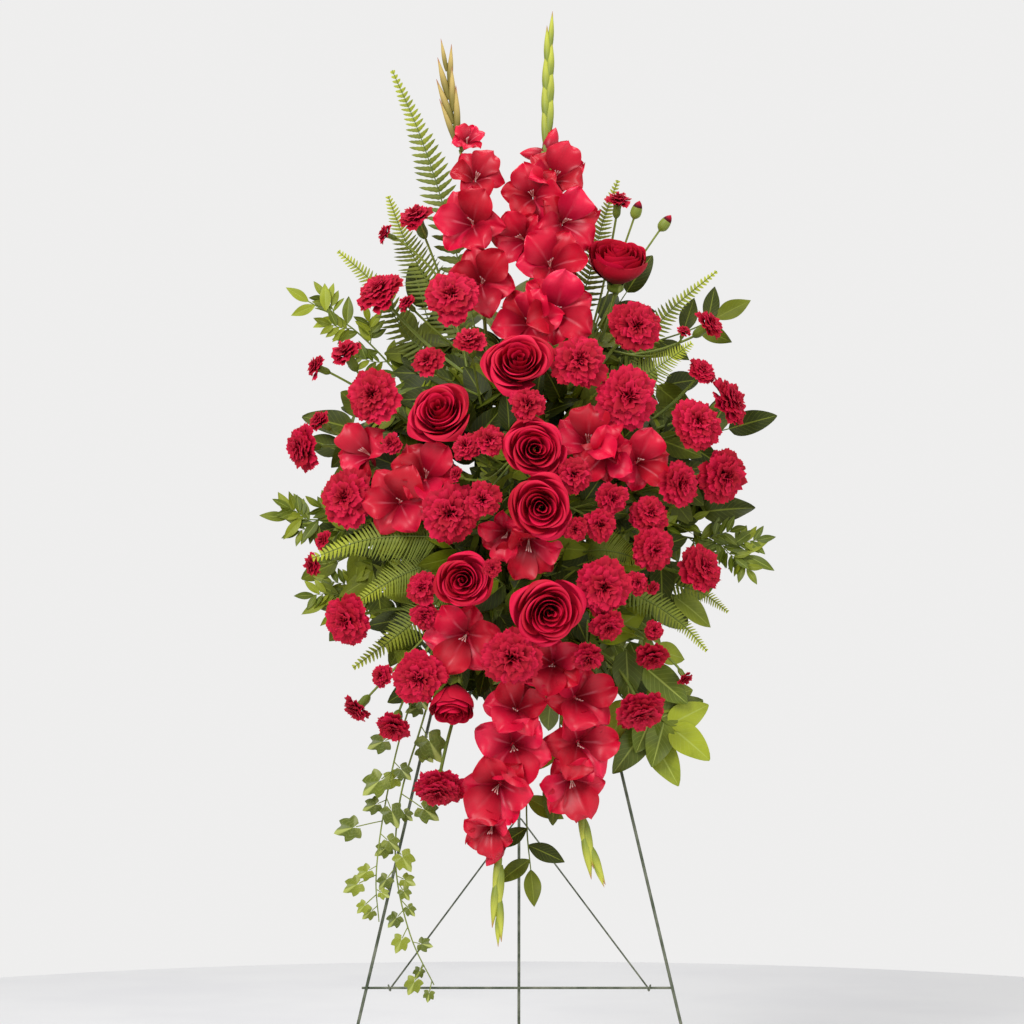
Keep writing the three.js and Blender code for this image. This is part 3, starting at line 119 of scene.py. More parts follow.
# A smooth line through points, in even shares between them.
def smoothLine(points, shares):
    points = [np.asarray(point, float) for point in points]
    last = len(points) - 1
    placed = []
    for share in np.atleast_1d(shares):
        at = min(max(float(share), 0.0), 1.0) * last
        k = min(int(at), last - 1)
        t = at - k
        one, two = points[k], points[k + 1]
        zero = points[k - 1] if k else 2 * one - two
        three = points[k + 2] if k + 2 <= last else 2 * two - one
        gapA = max(np.linalg.norm(one - zero), 1e-6) ** 0.5
        gapB = max(np.linalg.norm(two - one), 1e-6) ** 0.5
        gapC = max(np.linalg.norm(three - two), 1e-6) ** 0.5
        leave = ((one - zero) / gapA - (two - zero) / (gapA + gapB) + (two - one) / gapB) * gapB
        arrive = ((two - one) / gapB - (three - one) / (gapB + gapC) + (three - two) / gapC) * gapB
        placed.append((2 * t**3 - 3 * t**2 + 1) * one + (t**3 - 2 * t**2 + t) * leave
                      + (3 * t**2 - 2 * t**3) * two + (t**3 - t**2) * arrive)
    return np.array(placed)


def evenLine(points, count):
    return smoothLine(points, np.linspace(0, 1, count))


def pointAt(points, share):
    return smoothLine(points, share)[0]


def headingAt(points, share):
    ends = smoothLine(points, [max(share - 1e-3, 0), min(share + 1e-3, 1)])
    return unit(ends[1] - ends[0])


# A piece is gathered as grids of points; looks are the indexes of its materials.
def newPiece(name):
    return {"name": name, "points": [], "faces": [], "shape": [], "own": [], "look": [], "count": 0}


def addGrid(piece, points, own, look=0, closed=False):
    rows, columns = points.shape[:2]
    index = piece["count"] + np.arange(rows * columns).reshape(rows, columns)
    if closed:
        index = np.concatenate([index, index[:, :1]], axis=1)
    corners = [index[:-1, :-1], index[:-1, 1:], index[1:, 1:], index[1:, :-1]]
    faces = np.stack(corners, axis=-1).reshape(-1, 4)
    across, along = np.meshgrid(np.linspace(0, 1, columns), np.linspace(0, 1, rows))
    piece["points"].append(points.reshape(-1, 3))
    piece["faces"].append(faces)
    piece["shape"].append(np.stack([across, along], axis=-1).reshape(-1, 2))
    piece["own"].append(np.tile(np.array(own, float), (rows * columns, 1)))
    piece["look"].append(np.full(len(faces), look))
    piece["count"] += rows * columns


def addPetal(piece, chance, points):
    addGrid(piece, giveWay(points), (chance.uniform(0, 1), chance.uniform(0, 1)))


def addTube(piece, line, radii, own, look=1, sides=8):
    line = np.asarray(line, float)
    radii = np.broadcast_to(np.asarray(radii, float), (len(line),))
    heading = np.gradient(line, axis=0)
    side = np.cross(unit(heading[0]), up if abs(unit(heading[0])[2]) < 0.9 else [1, 0, 0])
    turns = np.linspace(0, 2 * math.pi, sides, endpoint=False)
    rings = []
    for place, way, radius in zip(line, heading, radii):
        way = unit(way)
        side = squareTo(way, side)
        over = np.cross(way, side)
        rings.append(place + radius * (np.outer(np.cos(turns), side) + np.outer(np.sin(turns), over)))
    first = line[0] + (rings[0] - line[0]) * 0.05
    last = line[-1] + (rings[-1] - line[-1]) * 0.05
    addGrid(piece, np.array([first, *rings, last]), own, look, closed=True)


def linked(name, data):
    made = bpy.data.objects.new(name, data)
    bpy.context.scene.collection.objects.link(made)
    return made


def finishPiece(piece, materials):
    points = (np.concatenate(piece["points"]) + shift) / 1000
    faces = np.concatenate(piece["faces"]).astype(np.int32)
    mesh = bpy.data.meshes.new(piece["name"] + "_mesh")
    mesh.vertices.add(len(points))
    mesh.vertices.foreach_set("co", points.astype(np.float32).ravel())
    mesh.loops.add(faces.size)
    mesh.loops.foreach_set("vertex_index", faces.ravel())
    mesh.polygons.add(len(faces))
    mesh.polygons.foreach_set("loop_start", np.arange(0, faces.size, 4, dtype=np.int32))
    mesh.update(calc_edges=True)
    for label in ("shape", "own"):
        values = np.concatenate(piece[label])[faces.ravel()]
        mesh.uv_layers.new(name=label).data.foreach_set("uv", values.astype(np.float32).ravel())
    for material in materials:
        mesh.materials.append(material)
    mesh.polygons.foreach_set("material_index", np.concatenate(piece["look"]).astype(np.int32))
    mesh.polygons.foreach_set("use_smooth", np.ones(len(faces), bool))
    mesh.validate()
    made = linked(piece["name"] + "_shown", mesh)
    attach(made, "stand")
    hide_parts(piece["name"])


# Blooms already in place push later petals and leaves aside.
standing = []


def giveWay(points):
    flat = points.reshape(-1, 3)
    for centre, radius in standing:
        away = flat - centre
        distance = np.linalg.norm(away, axis=1)
        inside = (distance < radius) & (distance > 1e-6)
        if inside.any():
            kept = radius * (0.94 + 0.06 * distance[inside] / radius)
            flat[inside] = centre + away[inside] * (kept / distance[inside])[:, None]
    return flat.reshape(points.shape)


def headAxes(face, roll=0.0):
    side = unit(np.cross(up, face)) if abs(face[2]) < 0.95 else np.array([1.0, 0, 0])
    side = squareTo(face, side)
    over = np.cross(face, side)
    turned = side * math.cos(roll) + over * math.sin(roll)
    return turned, np.cross(face, turned), face


def spread(place, axes, *lengths):
    for way, length in zip(axes, lengths):
        place = place + length[..., None] * way
    return place


# Puts points, given by their distance from the head's axis, their angle and their height, on the head.
def onHead(place, axes, reach, angle, height):
    return spread(place, axes, reach * np.cos(angle), reach * np.sin(angle), height)


# Rings round the head's axis, each with its radius, height and turn.
def ringsOn(place, axes, radii, heights, sides, turns=0.0):
    angles = np.linspace(0, 2 * math.pi, sides, endpoint=False) + np.zeros((len(heights), 1)) + turns
    shape = np.ones(sides)
    return onHead(place, axes, np.outer(radii, shape), angles, np.outer(heights, shape))


def bend(share, start, middle, end):
    return (1 - share) ** 2 * start + 2 * share * (1 - share) * middle + share**2 * end


def petalShares(rows, columns):
    return np.meshgrid(np.linspace(0, 1, rows), np.linspace(-1, 1, columns), indexing="ij")


# Where the blooms are: pixel across and down, how far in front, radius, the way it faces (right, up, front).
# A rose adds how tall it is for its width. Spikes and green give their paths as points of the same kind.
rosesRows = {
    "rose_top": [(617, 264, 92, 41, (0.05, 0.85, 0.5), 1.25)],
    "rose_upper": [(519, 362, 188, 41, (0.02, 0.45, 0.88), 1)],
    "rose_left": [(440, 412, 168, 41, (-0.15, 0.5, 0.82), 1)],
    "rose_middle": [(535, 449, 208, 38, (0.1, 0.05, 1), 1)],
    "rose_heart": [(541, 507, 214, 39, (0, -0.08, 1), 1)],
    "rose_lower_left": [(463, 580, 192, 34, (-0.1, -0.08, 1), 1)],
    "rose_lower_right": [(549, 612, 190, 42, (0.1, -0.15, 1), 1)],
    "rose_hanging": [(453, 703, 128, 30, (-0.05, -0.8, 0.55), 1.6)],
}
carnationsRows = {
    "carnations_upper_left": [
        (452, 296, 150, 34, (-0.1, 0.35, 0.92)), (380, 293, 92, 31, (-0.5, 0.65, 0.55)),
    ],
    "carnations_upper_right": [
        (635, 327, 122, 32, (0.25, 0.15, 0.95)), (579, 362, 172, 34, (0.15, 0.3, 0.93)),
        (627, 397, 160, 38, (0.2, 0.1, 0.97)),
    ],
    "carnations_left": [
        (374, 396, 140, 34, (-0.3, 0.2, 0.93)), (303, 448, 72, 29, (-0.82, -0.1, 0.55)),
        (347, 499, 118, 35, (-0.35, 0.15, 0.92)),
    ],
    "carnations_right": [
        (696, 424, 118, 32, (0.3, 0.3, 0.9)), (729, 402, 76, 30, (0.8, 0.35, 0.45)),
        (702, 371, 74, 19, (0.45, 0.65, 0.6)),
    ],
    "carnations_right_low": [
        (722, 476, 88, 34, (0.55, -0.1, 0.83)), (679, 484, 132, 29, (0.62, 0.05, 0.78)),
        (701, 568, 92, 31, (0.62, 0.3, 0.72)),
    ],
    "carnation_centre": [(450, 514, 184, 36, (-0.12, 0, 1))],
    "carnations_lower_right": [
        (649, 515, 140, 25, (0.3, 0.4, 0.86)), (653, 550, 146, 27, (0.35, -0.15, 0.92)),
        (603, 587, 172, 33, (0.15, -0.05, 1)),
    ],
    "carnations_lower_left": [
        (348, 620, 96, 31, (-0.4, -0.2, 0.88)), (420, 678, 134, 34, (-0.2, -0.2, 0.95)),
    ],
    "carnation_low_centre": [(512, 657, 172, 35, (0, -0.1, 1))],
    "carnation_low_right": [(640, 712, 102, 31, (0.2, -0.72, 0.66))],
    "carnation_low_left": [(438, 788, 78, 31, (-0.1, -0.72, 0.66))],
}
minisRows = {
    "spray_top_left": [
        (416, 218, 74, 23, (-0.35, 0.75, 0.5)), (385, 234, 62, 12, (-0.9, 0.35, 0.3)),
        (407, 303, 112, 12, (-0.6, 0.6, 0.5)),
    ],
    "spray_upper_left": [
        (470, 340, 172, 20, (-0.1, 0.75, 0.65)), (428, 362, 150, 20, (-0.3, 0.45, 0.85)),
    ],
    "spray_top_right": [
        (618, 201, 60, 17, (0.1, 0.9, 0.4)), (634, 218, 66, 7, (0.3, 0.9, 0.3)),
        (660, 230, 58, 7, (0.6, 0.8, 0.2)), (709, 325, 62, 20, (0.7, 0.5, 0.5)),
        (684, 331, 84, 9, (0.3, 0.8, 0.5)),
    ],
    "spray_centre": [
        (528, 405, 212, 22, (0, 0.3, 0.95)), (466, 447, 198, 18, (-0.35, 0.4, 0.85)),
        (489, 441, 208, 19, (0.15, 0.35, 0.92)), (482, 500, 216, 22, (0.1, 0.1, 1)),
        (456, 474, 206, 10, (-0.7, 0.35, 0.6)),
    ],
    "spray_heart_right": [
        (574, 475, 198, 22, (0.1, 0.1, 1)), (612, 499, 178, 20, (0.25, 0.05, 0.96)),
        (576, 529, 200, 15, (-0.1, -0.2, 0.97)), (600, 524, 190, 20, (0.15, -0.15, 0.97)),
    ],
    "spray_left": [
        (346, 353, 88, 21, (-0.45, 0.75, 0.45)), (316, 367, 66, 15, (-0.85, 0.35, 0.4)),
        (391, 444, 150, 14, (-0.5, 0.3, 0.8)), (319, 421, 84, 15, (-0.7, 0.55, 0.45)),
        (323, 540, 80, 12, (-0.7, 0.3, 0.65)), (313, 565, 70, 15, (-0.85, -0.1, 0.5)),
    ],
    "spray_lower_left": [
        (423, 588, 162, 20, (-0.3, 0.1, 0.95)), (425, 616, 148, 18, (-0.3, -0.3, 0.9)),
        (492, 568, 214, 12, (0.1, 0.1, 1)), (382, 676, 98, 14, (-0.5, 0.1, 0.85)),
        (357, 709, 64, 18, (-0.6, -0.65, 0.45)), (394, 727, 84, 21, (-0.2, -0.65, 0.72)),
    ],
    "spray_lower_right": [
        (637, 583, 160, 14, (0.3, 0.1, 0.95)), (653, 588, 152, 9, (0.6, -0.3, 0.75)),
        (608, 626, 162, 20, (0.15, -0.5, 0.85)), (588, 657, 154, 20, (0.05, -0.6, 0.8)),
    ],
    "spray_low_right": [
        (654, 630, 120, 12, (0.2, 0.1, 0.97)), (652, 656, 112, 21, (0.2, -0.7, 0.65)),
        (685, 678, 84, 11, (0.5, -0.75, 0.4)),
    ],
}
spikeRows = {
    "gladiolus_top_left": {
        "stem": [[490, 372, 76], [482, 290, 74], [468, 180, 70], [460, 150, 68]],
        "end": [[459, 147, 68], [450, 100, 66], [446, 44, 64]],
        "florets": [
            (480, 281, 118, 38, (-0.05, 0.1, 1)), (468, 222, 104, 38, (-0.2, 0.1, 0.95)),
            (477, 174, 92, 29, (0.15, 0.35, 0.9)), (469, 138, 80, 18, (0.2, 0.5, 0.8)),
        ],
    },
    "gladiolus_top_right": {
        "stem": [[532, 372, 76], [538, 290, 76], [546, 190, 74], [547, 152, 72]],
        "end": [[547, 148, 72], [548, 88, 70], [550, 14, 68]],
        "florets": [
            (526, 322, 120, 36, (-0.2, 0.1, 0.95)), (558, 310, 128, 40, (0.15, 0.05, 1)),
            (553, 262, 118, 38, (0.1, 0.2, 0.95)), (518, 238, 104, 32, (-0.4, 0.1, 0.9)),
            (569, 222, 106, 36, (0.35, 0.05, 0.92)), (532, 193, 100, 33, (-0.1, 0.2, 0.95)),
            (558, 173, 90, 33, (0.25, 0.35, 0.88)), (533, 154, 74, 10, (-0.3, 0.9, 0.3)),
            (557, 124, 72, 11, (0.35, 0.9, 0.2)),
        ],
    },
    "gladiolus_bottom_left": {
        "stem": [[512, 666, 58], [512, 706, 50], [508, 800, 40], [502, 846, 34]],
        "end": [[501, 850, 34], [498, 890, 34], [500, 942, 34]],
        "florets": [
            (517, 706, 110, 34, (0, 0.25, 0.95)), (513, 747, 98, 46, (0, -0.05, 1)),
            (497, 790, 84, 40, (-0.1, -0.2, 0.97)), (489, 832, 68, 27, (-0.2, -0.35, 0.9)),
            (485, 868, 46, 11, (-0.2, -0.95, 0.2)),
        ],
    },
    "gladiolus_bottom_right": {
        "stem": [[554, 672, 58], [566, 706, 50], [576, 780, 40], [580, 802, 38]],
        "end": [[581, 806, 38], [587, 840, 38], [604, 882, 38]],
        "florets": [
            (552, 663, 132, 34, (-0.05, 0.05, 1)), (582, 696, 106, 38, (0.3, 0.1, 0.95)),
            (583, 744, 88, 39, (0.2, -0.05, 0.97)), (571, 785, 74, 35, (0, -0.3, 0.95)),
            (577, 818, 42, 8, (0, -0.97, 0.2)),
        ],
    },
    "gladiolus_left": {
        "stem": [[470, 500, 122], [420, 492, 108], [372, 466, 84]],
        "florets": [
            (424, 472, 152, 35, (-0.05, 0.35, 0.93)), (397, 503, 146, 38, (-0.1, 0, 1)),
            (360, 451, 110, 32, (-0.6, 0.3, 0.75)),
        ],
    },
    "gladiolus_right": {
        "stem": [[562, 470, 122], [600, 462, 108], [646, 446, 92]],
        "florets": [
            (588, 437, 160, 36, (0, 0.4, 0.92)), (606, 457, 152, 32, (0.1, -0.1, 1)),
            (641, 462, 138, 34, (0.2, 0.05, 0.97)),
        ],
    },
    "gladiolus_centre": {
        "stem": [[524, 530, 108], [518, 548, 126]],
        "florets": [(530, 550, 176, 33, (0.05, -0.6, 0.8)), (503, 536, 178, 27, (-0.3, -0.3, 0.9))],
    },
    "gladiolus_lower_left": {
        "stem": [[490, 590, 120], [474, 622, 112], [468, 640, 96]],
        "florets": [(463, 637, 148, 40, (-0.15, -0.1, 0.98))],
    },
}
# Each frond: its path and its widest reach.
frondRows = {
    "fern_upper_left": [
        ([[478, 342, 34], [446, 215, 20], [418, 130, 20], [392, 70, 20]], 19),
        ([[466, 350, 38], [432, 290, 26], [405, 240, 28], [388, 196, 30]], 21),
        ([[458, 372, 44], [412, 340, 34], [372, 282, 34], [338, 251, 34]], 18),
    ],
    "fern_upper_right": [
        ([[562, 350, 30], [588, 280, 22], [602, 225, 22], [618, 180, 22]], 17),
        ([[584, 370, 34], [636, 345, 28], [676, 305, 26], [717, 271, 26]], 15),
        ([[592, 396, 50], [630, 384, 84], [662, 364, 98], [692, 343, 96]], 21),
    ],
    "fern_lower_left": [
        ([[446, 540, 116], [412, 536, 124], [365, 540, 116], [312, 558, 100]], 25),
        ([[446, 562, 104], [424, 566, 106], [392, 580, 100], [355, 603, 88]], 24),
        ([[446, 590, 84], [430, 608, 76], [396, 636, 64], [353, 668, 50]], 21),
    ],
    "fern_lower_right": [
        ([[584, 552, 116], [600, 550, 134], [620, 553, 136], [645, 562, 126]], 22),
        ([[592, 572, 92], [640, 596, 88], [680, 622, 78], [707, 651, 68]], 15),
        ([[596, 560, 56], [650, 580, 44], [700, 592, 38], [728, 612, 34]], 15),
    ],
}
# Each branch: its path, its leaves' length and width, how many, where they begin, how far they spread.
branchRows = {
    "trailing_branch": [
        ([[528, 676, 14], [527, 740, 10], [527, 830, 12], [531, 872, 12]], 42, 20, 5, 0.64, 60),
    ],
    "leaves_centre": [
        ([[508, 596, 100], [496, 566, 122], [506, 540, 130]], 42, 25, 3, 0.35, 60),
        ([[500, 602, 100], [470, 566, 106], [438, 546, 108]], 42, 25, 4, 0.4, 58),
        ([[520, 602, 100], [542, 584, 104], [564, 574, 102]], 42, 25, 3, 0.4, 58),
    ],
    "leaves_lower_right": [
        ([[590, 652, 46], [616, 690, 44], [640, 716, 40], [652, 738, 38]], 62, 34, 5, 0.42, 62),
        ([[590, 646, 56], [630, 684, 58], [658, 716, 54], [672, 728, 52]], 50, 32, 6, 0.62, 66),
        ([[590, 640, 64], [620, 646, 76], [646, 668, 72]], 58, 34, 3, 0.4, 50),
        ([[562, 668, 30], [560, 724, 16], [556, 776, 14]], 54, 26, 3, 0.56, 55),
    ],
    "leaves_right": [
        ([[590, 504, 24], [656, 516, 14], [704, 512, 14]], 58, 34, 4, 0.45, 60),
        ([[590, 490, 20], [664, 446, 10], [732, 428, 18]], 54, 28, 4, 0.6, 50),
        ([[590, 516, 20], [680, 536, 10], [730, 546, 20], [748, 556, 20]], 32, 11, 6, 0.58, 58),
    ],
    "leaves_upper_right": [
        ([[566, 398, 24], [630, 352, 10], [690, 330, 8], [716, 318, 10]], 42, 20, 6, 0.5, 52),
        ([[560, 390, 40], [600, 332, 20], [628, 290, 14]], 50, 28, 3, 0.55, 52),
    ],
    "leaves_upper_left": [
        ([[446, 426, 20], [436, 350, 8], [424, 306, 8]], 52, 30, 3, 0.5, 54),
        ([[440, 434, 16], [396, 372, 4], [352, 328, 10], [306, 300, 10]], 30, 12, 10, 0.48, 56),
    ],
    "leaves_left": [
        ([[440, 470, 30], [396, 440, 16], [350, 428, 14]], 56, 32, 4, 0.5, 56),
        ([[440, 500, 26], [380, 520, 14], [320, 520, 14], [286, 518, 14]], 32, 12, 9, 0.5, 56),
        ([[440, 552, 26], [400, 588, 14], [350, 590, 14], [326, 602, 14]], 30, 11, 6, 0.62, 56),
    ],
}
# Each ivy shoot: its path, and its leaves with their widths.
ivyRows = [
    {"path": [[440, 646, 44], [410, 706, 42], [386, 800, 34], [376, 880, 32], [379, 922, 32]],
     "leaves": [
         [382, 742, 24], [378, 782, 30], [352, 828, 28], [392, 812, 26], [356, 885, 22], [364, 906, 15],
     ]},
    {"path": [[446, 652, 38], [420, 730, 30], [400, 800, 24], [396, 870, 22], [412, 940, 22], [434, 985, 22]],
     "leaves": [
         [430, 742, 34], [425, 810, 26], [403, 858, 24], [386, 880, 18], [404, 892, 15], [409, 909, 14],
         [401, 941, 20], [414, 983, 20], [429, 994, 13],
     ]},
]


# Shader node helpers
def addNode(tree, kind, **values):
    node = tree.nodes.new(kind)
    for name, value in values.items():
        setattr(node, name, value)
    return node


def feed(tree, sockets, *values):
    for socket, value in zip(sockets, values):
        if isinstance(value, (int, float, tuple)):
            socket.default_value = value
        else:
            tree.links.new(value, socket)


def mathNode(tree, operation, *values):
    node = addNode(tree, "ShaderNodeMath", operation=operation)
    feed(tree, node.inputs, *values)
    return node.outputs[0]


def times(tree, first, second):
    return mathNode(tree, "MULTIPLY", first, second)


def plus(tree, first, second):
    return mathNode(tree, "ADD", first, second)


def scaled(tree, value, factor, added):
    return mathNode(tree, "MULTIPLY_ADD", value, factor, added)


def mixColours(tree, share, first, second):
    node = addNode(tree, "ShaderNodeMix", data_type="RGBA")
    feed(tree, (node.inputs[0], node.inputs[6], node.inputs[7]), share, first, second)
    return node.outputs[2]


def smoothShare(tree, value, low, high):
    node = addNode(tree, "ShaderNodeMapRange", interpolation_type="SMOOTHSTEP")
    feed(tree, node.inputs, value, low, high)
    return node.outputs[0]


def noiseOf(tree, scale, detail, place=None):
    noise = addNode(tree, "ShaderNodeTexNoise")
    noise.inputs["Scale"].default_value = scale
    noise.inputs["Detail"].default_value = detail
    if place is None:
        place = addNode(tree, "ShaderNodeTexCoord").outputs["Object"]
    tree.links.new(place, noise.inputs["Vector"])
    return noise.outputs["Fac"]


def layerPlaces(tree):
    sockets = []
    for layer in ("shape", "own"):
        place = addNode(tree, "ShaderNodeUVMap", uv_map=layer)
        split = addNode(tree, "ShaderNodeSeparateXYZ")
        tree.links.new(place.outputs[0], split.inputs[0])
        sockets += [split.outputs[0], split.outputs[1]]
    return sockets


def newSkin(name, colours, shares):
    group = bpy.data.node_groups.new(name, "ShaderNodeTree")
    for label in colours:
        group.interface.new_socket(name=label, in_out="INPUT", socket_type="NodeSocketColor")
    for label, value in shares.items():
        made = group.interface.new_socket(name=label, in_out="INPUT", socket_type="NodeSocketFloat")
        made.default_value = value
    group.interface.new_socket(name="Color", in_out="OUTPUT", socket_type="NodeSocketColor")
    group.interface.new_socket(name="Height", in_out="OUTPUT", socket_type="NodeSocketFloat")
    return group, addNode(group, "NodeGroupInput").outputs


def finishSkin(group, height, **changes):
    hue = addNode(group, "ShaderNodeHueSaturation")
    for label, value in changes.items():
        group.links.new(value, hue.inputs[label])
    result = addNode(group, "NodeGroupOutput")
    feed(group, result.inputs, hue.outputs[0], height)
    return group


# Petal skin: dark at the claw as painted shade of the deep between the petals, body colour, a paler rim as
# painted highlight where the petal edges catch the light, veins that run to the edge, soft mottling. On
# stamens and sheaths the claw and rim colours are those of their base and tip.
def makePetalSkin():
    shares = {"Streak Share": 0.0, "Veins": 0.2}
    group, given = newSkin("petalSkin", ("Heart Colour And Painted Shade", "Body", "Rim Colour And Painted Highlight", "Streak"), shares)
    across, along, own, second = layerPlaces(group)
    stretched = addNode(group, "ShaderNodeCombineXYZ")
    lengths = [times(group, share, factor) for share, factor in ((across, 26.0), (along, 1.6), (own, 40.0))]
    feed(group, stretched.inputs, *lengths)
    veins = noiseOf(group, 1.0, 3.0, stretched.outputs[0])
    mottle = noiseOf(group, 70.0, 4.0)
    # Painted shade: the petals darken towards the claw, standing in for the shade deep between them.
    body = mixColours(group, smoothShare(group, along, 0.15, 0.72), given["Heart Colour And Painted Shade"], given["Body"])
    # Painted highlight: the petals turn paler at the rim, where their curled edges catch the light.
    rimmed = mixColours(group, smoothShare(group, along, 0.78, 1.02), body, given["Rim Colour And Painted Highlight"])
    middle = mathNode(group, "ABSOLUTE", plus(group, across, -0.5))
    band = times(group, smoothShare(group, middle, 0.06, 0.01), smoothShare(group, along, 0.62, 0.42))
    band = times(group, band, times(group, second, given["Streak Share"]))
    streaked = mixColours(group, band, rimmed, given["Streak"])
    lines = times(group, plus(group, veins, -0.5), given["Veins"])
    light = plus(group, scaled(group, own, 0.42, 0.8), times(group, lines, 2.0))
    light = plus(group, light, scaled(group, mottle, 0.3, -0.15))
    height = plus(group, veins, times(group, mottle, 0.4))
    return finishSkin(group, height, Color=streaked, Value=light, Hue=scaled(group, own, -0.006, 0.4985))


# Leaf skin: a pale midrib with side veins, blotches, and a margin colour for variegated leaves.
def makeLeafSkin():
    shares = {"Margin Share": 0.0, "Side Veins": 9.0}
    group, given = newSkin("leafSkin", ("Dark", "Light", "Rib", "Margin"), shares)
    across, along, own, second = layerPlaces(group)
    middle = mathNode(group, "ABSOLUTE", plus(group, across, -0.5))
    rib = smoothShare(group, middle, 0.045, 0.012)
    climb = plus(group, along, times(group, middle, -0.55))
    wave = mathNode(group, "SINE", times(group, climb, times(group, given["Side Veins"], math.pi)))
    side = times(group, smoothShare(group, mathNode(group, "ABSOLUTE", wave), 0.22, 0.02), 0.45)
    veins = mathNode(group, "MAXIMUM", rib, side)
    blotch = noiseOf(group, 45.0, 5.0)
    tone = plus(group, times(group, blotch, 0.7), scaled(group, own, 0.9, -0.45))
    blade = mixColours(group, smoothShare(group, tone, 0.1, 0.9), given["Dark"], given["Light"])
    ribbed = mixColours(group, times(group, veins, 0.7), blade, given["Rib"])
    edge = plus(group, times(group, middle, 1.4), scaled(group, blotch, 0.9, -0.45))
    edged = times(group, smoothShare(group, edge, 0.44, 0.62), given["Margin Share"])
    shown = mixColours(group, edged, ribbed, given["Margin"])
    height = mathNode(group, "SUBTRACT", times(group, blotch, 0.5), veins)
    return finishSkin(group, height, Color=shown, Value=scaled(group, second, 0.4, 0.8))


petalSkin = makePetalSkin()
leafSkin = makeLeafSkin()


def colour(red, green, blue):
    def linear(value):
        share = value / 255
        return share / 12.92 if share <= 0.04045 else ((share + 0.055) / 1.055) ** 2.4
    return (linear(red), linear(green), linear(blue), 1.0)


def newMaterial(name):
    material = bpy.data.materials.new(name)
    material.use_nodes = True
    return material, material.node_tree, material.node_tree.nodes["Principled BSDF"].inputs


def addBump(tree, inputs, height, strength, distance):
    bump = addNode(tree, "ShaderNodeBump")
    bump.inputs["Strength"].default_value = strength
    bump.inputs["Distance"].default_value = distance
    tree.links.new(height, bump.inputs["Height"])
    tree.links.new(bump.outputs["Normal"], inputs["Normal"])


def skinMaterial(name, group, given, finish):
    material, tree, inputs = newMaterial(name)
    skin = addNode(tree, "ShaderNodeGroup", node_tree=group)
    for label, value in given.items():
        skin.inputs[label].default_value = colour(*value) if isinstance(value, tuple) else value
    tree.links.new(skin.outputs["Color"], inputs["Base Color"])
    addBump(tree, inputs, skin.outputs["Height"], finish["bump"], 0.0006)
    inputs["Roughness"].default_value = finish["roughness"]
    inputs["Sheen Weight"].default_value = finish.get("sheen", 0.0)
    inputs["Sheen Tint"].default_value = colour(*finish.get("sheenTint", (255, 255, 255)))
    inputs["Specular IOR Level"].default_value = finish.get("specular", 0.4)
    return material


# On the rose, carnation and gladiolus petals the first colour is painted shade at the claw and the third is
# painted highlight at the rim.
rosePetals = skinMaterial("rose_petals", petalSkin, {
    "Heart Colour And Painted Shade": (104, 2, 12), "Body": (188, 8, 31), "Rim Colour And Painted Highlight": (212, 18, 44), "Veins": 0.07,
}, {"roughness": 0.6, "bump": 0.12, "sheen": 0.12, "sheenTint": (230, 60, 90), "specular": 0.22})
carnationPetals = skinMaterial("carnation_petals", petalSkin, {
    "Heart Colour And Painted Shade": (66, 0, 8), "Body": (168, 8, 27), "Rim Colour And Painted Highlight": (196, 15, 40), "Veins": 0.14,
}, {"roughness": 0.66, "bump": 0.18, "sheen": 0.1, "sheenTint": (230, 70, 100), "specular": 0.2})
gladiolusPetals = skinMaterial("gladiolus_petals", petalSkin, {
    "Heart Colour And Painted Shade": (150, 4, 22), "Body": (206, 11, 33), "Rim Colour And Painted Highlight": (216, 20, 46), "Veins": 0.1,
    "Streak": (224, 120, 132), "Streak Share": 0.42,
}, {"roughness": 0.42, "bump": 0.16, "sheen": 0.08, "sheenTint": (230, 90, 100), "specular": 0.36})
stamenMaterial = skinMaterial("stamens", petalSkin, {
    "Heart Colour And Painted Shade": (240, 210, 190), "Body": (226, 180, 170), "Rim Colour And Painted Highlight": (120, 84, 110), "Veins": 0.05,
}, {"roughness": 0.6, "bump": 0.1})
stemGreen = skinMaterial("stem_green", leafSkin, {
    "Dark": (92, 108, 30), "Light": (158, 170, 62), "Rib": (166, 176, 84), "Margin": (140, 150, 90),
}, {"roughness": 0.5, "bump": 0.15})
sheathGreen = skinMaterial("bud_sheaths", petalSkin, {
    "Heart Colour And Painted Shade": (120, 136, 44), "Body": (178, 184, 66), "Rim Colour And Painted Highlight": (168, 112, 70), "Veins": 0.25,
}, {"roughness": 0.5, "bump": 0.3})
driedSheath = skinMaterial("dried_sheaths", petalSkin, {
    "Heart Colour And Painted Shade": (120, 112, 50), "Body": (188, 166, 96), "Rim Colour And Painted Highlight": (160, 92, 74), "Veins": 0.35,
}, {"roughness": 0.6, "bump": 0.3, "specular": 0.25})
fernGreen = skinMaterial("fern_green", leafSkin, {
    "Dark": (94, 108, 14), "Light": (180, 188, 36), "Rib": (150, 152, 44), "Margin": (120, 140, 50),
    "Side Veins": 14.0,
}, {"roughness": 0.55, "bump": 0.2})
darkLeaf = skinMaterial("dark_leaf", leafSkin, {
    "Dark": (48, 57, 2), "Light": (110, 119, 12), "Rib": (132, 142, 44), "Margin": (60, 76, 16),
}, {"roughness": 0.5, "bump": 0.3, "specular": 0.22})
lightLeaf = skinMaterial("light_leaf", leafSkin, {
    "Dark": (84, 98, 12), "Light": (150, 160, 32), "Rib": (162, 174, 76), "Margin": (120, 140, 60),
}, {"roughness": 0.46, "bump": 0.3, "specular": 0.32})
